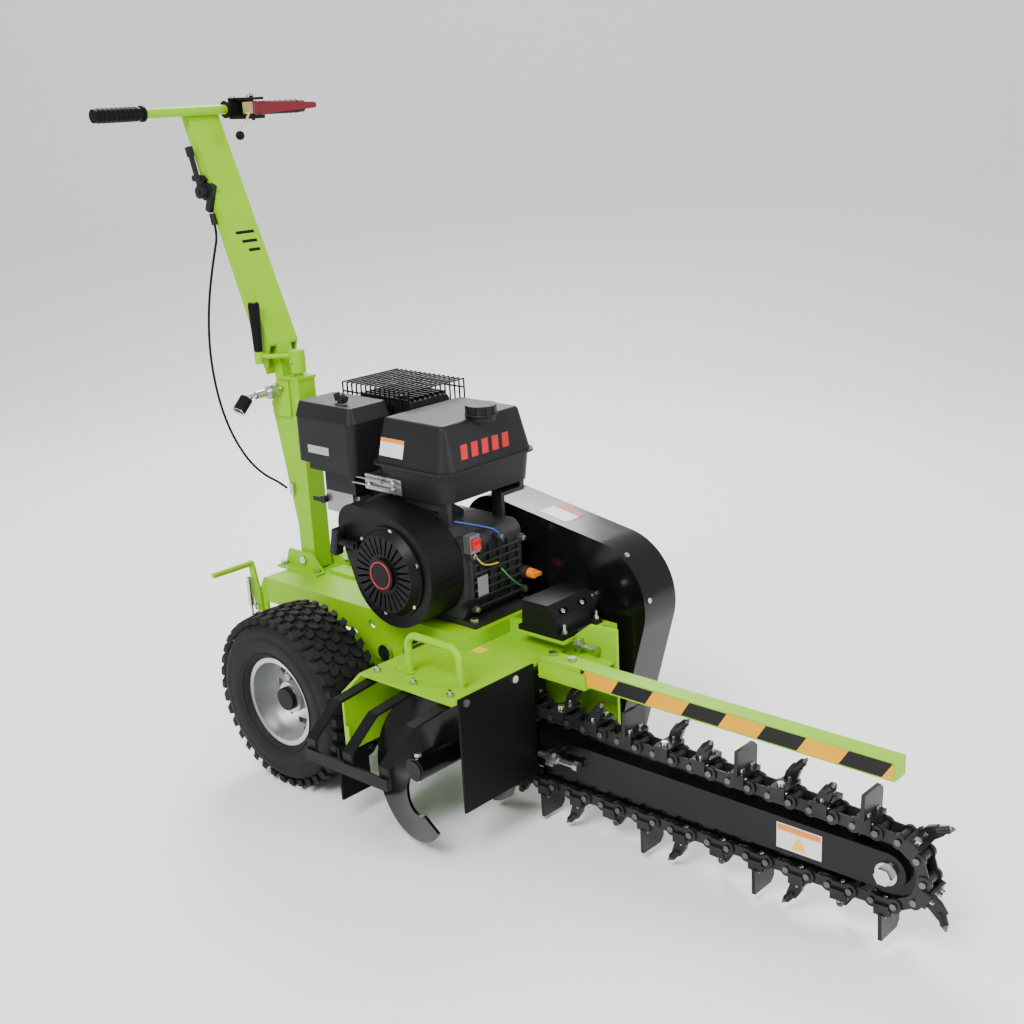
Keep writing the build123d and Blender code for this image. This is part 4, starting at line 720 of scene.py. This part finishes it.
# the throttle cable hangs from its ferrule to a point beside the column
CABLE_ROUTE = [(-408.8, -49.6, 1209), (-403, -51, 1184), (-404, -62, 1150), (-412, -74, 1092),
               (-418, -84, 1034), (-421, -91, 976), (-420, -96, 918), (-414, -98, 860),
               (-403, -98, 802), (-387, -94, 746), (-366, -86, 696), (-340, -74, 652),
               (-310, -58, 622), (-280, -42, 606), (-262, -34, 592)]
line = wire("throttle_cable_line", CABLE_ROUTE, 3.0, rubber, None)
bpy.context.view_layer.update()
tube_mesh = bpy.data.meshes.new_from_object(line.evaluated_get(bpy.context.evaluated_depsgraph_get()))
line.data.bevel_depth = 0
bpy.context.view_layer.update()
middle = bpy.data.meshes.new_from_object(line.evaluated_get(bpy.context.evaluated_depsgraph_get()))
path = [tuple(v.co) for v in middle.vertices]
bpy.data.objects.remove(line)
cable = bpy.data.objects.new("throttle_cable_tube", tube_mesh)
bpy.context.scene.collection.objects.link(cable)
for face in tube_mesh.polygons:
    face.use_smooth = True
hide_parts("throttle_cable")
tuple(at(*CABLE_ROUTE[0]))
tuple(at(*CABLE_ROUTE[0]))
tuple(at(*CABLE_ROUTE[-1]))
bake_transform(cable)

# the starter rope, short, running from the recoil housing to the handle
handle_low, handle_high = mm_box("starter_handle")
rope_y, rope_z = (handle_low[1] + handle_high[1]) / 2, (handle_low[2] + handle_high[2]) / 2
rope_in, rope_out = handle_high[0] + 18, (handle_low[0] + handle_high[0]) / 2
bm = bmesh.new()
rope_rings = []
for i in range(25):
    x = rope_in + (rope_out - rope_in) * i / 24
    rope_rings.append([bm.verts.new(at(x, rope_y + 2 * math.cos(a), rope_z + 2 * math.sin(a)))
                       for a in (2 * math.pi * k / 12 for k in range(12))])
for near, far in zip(rope_rings, rope_rings[1:]):
    for k in range(12):
        bm.faces.new((near[k], near[(k + 1) % 12], far[(k + 1) % 12], far[k]))
bm.faces.new(rope_rings[0])
bm.faces.new(list(reversed(rope_rings[-1])))
bmesh.ops.recalc_face_normals(bm, faces=bm.faces)
mesh = bpy.data.meshes.new("starter_rope")
bm.to_mesh(mesh)
bm.free()
for face in mesh.polygons:
    face.use_smooth = True
mesh.materials.append(rubber)
rope = bpy.data.objects.new("starter_rope", mesh)
bpy.context.scene.collection.objects.link(rope)
tuple(at(rope_in, rope_y, rope_z))
tuple(at(rope_out, rope_y, rope_z))
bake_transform(rope)

# ---------------------------------------------------------------- floor, lights and camera
FLOOR_Z = CAD_BOX[0][2] - 0.0005
bm = bmesh.new()
sweep_rows = []
for j in range(30):
    # flat under the machine, then curving up behind it, away from the camera
    run = -9 + 13 * min(1.0, j / 14)
    bend = max(0.0, (j - 14) / 15) * math.pi / 2
    along, height = (run + 3.5 * math.sin(bend), 3.5 * (1 - math.cos(bend)))
    height += 9 if j == 29 else 0
    heading = Vector((-math.sin(math.radians(40)), math.cos(math.radians(40)), 0))
    across = Vector((heading.y, -heading.x, 0))
    sweep_rows.append([bm.verts.new(heading * along + across * w + Vector((0, 0, height)))
                       for w in (-16, 16)])
for near, far in zip(sweep_rows, sweep_rows[1:]):
    bm.faces.new((near[0], near[1], far[1], far[0]))
bmesh.ops.recalc_face_normals(bm, faces=bm.faces)
mesh = bpy.data.meshes.new("floor")
bm.to_mesh(mesh)
bm.free()
floor = bpy.data.objects.new("floor", mesh)
floor.location = (0, 0, FLOOR_Z)
for face in mesh.polygons:
    face.use_smooth = True
bpy.context.scene.collection.objects.link(floor)
mesh.materials.append(material("floor_paper", (0.93, 0.93, 0.93), 0.9, bump=0.02, scale=20, dirt=0.005))

world = bpy.data.worlds.new("studio")
bpy.context.scene.world = world
world.use_nodes = True
world.node_tree.nodes["Background"].inputs["Color"].default_value = (1, 1, 1, 1)
world.node_tree.nodes["Background"].inputs["Strength"].default_value = 0.75
for name, place, size, power in (("key", (1.0, -3.4, 4.2), 2.2, 330), ("side", (4.2, 1.2, 2.4), 1.4, 120),
                                 ("back", (-2.6, 2.6, 3.6), 2.0, 230)):
    lamp = bpy.data.lights.new(name, "AREA")
    lamp.size, lamp.energy = size, power
    obj = bpy.data.objects.new(name, lamp)
    obj.location = place
    obj.rotation_euler = (Vector((0, 0, 0.5)) - Vector(place)).to_track_quat("-Z", "Y").to_euler()
    bpy.context.scene.collection.objects.link(obj)

AZIMUTH, ELEVATION, ROLL = math.radians(40.12), math.radians(18.59), math.radians(-1.97)
back = Vector((math.sin(AZIMUTH) * math.cos(ELEVATION), -math.cos(AZIMUTH) * math.cos(ELEVATION),
               math.sin(ELEVATION)))
right = (-back).cross(Vector((0, 0, 1))).normalized()
up = right.cross(-back)
tilt_right = math.cos(ROLL) * right + math.sin(ROLL) * up
tilt_up = -math.sin(ROLL) * right + math.cos(ROLL) * up
camera_data = bpy.data.cameras.new("camera")
camera_data.sensor_width = 36
camera_data.lens = 49.92
camera_data.shift_x = -0.0721
camera_data.shift_y = 0.0346
camera = bpy.data.objects.new("camera", camera_data)
turn = Matrix((tilt_right, tilt_up, back)).transposed().to_4x4()
camera.matrix_world = Matrix.Translation(at(2407.8, -2094.1, 1523.4)) @ turn
bpy.context.scene.collection.objects.link(camera)
bpy.context.scene.camera = camera
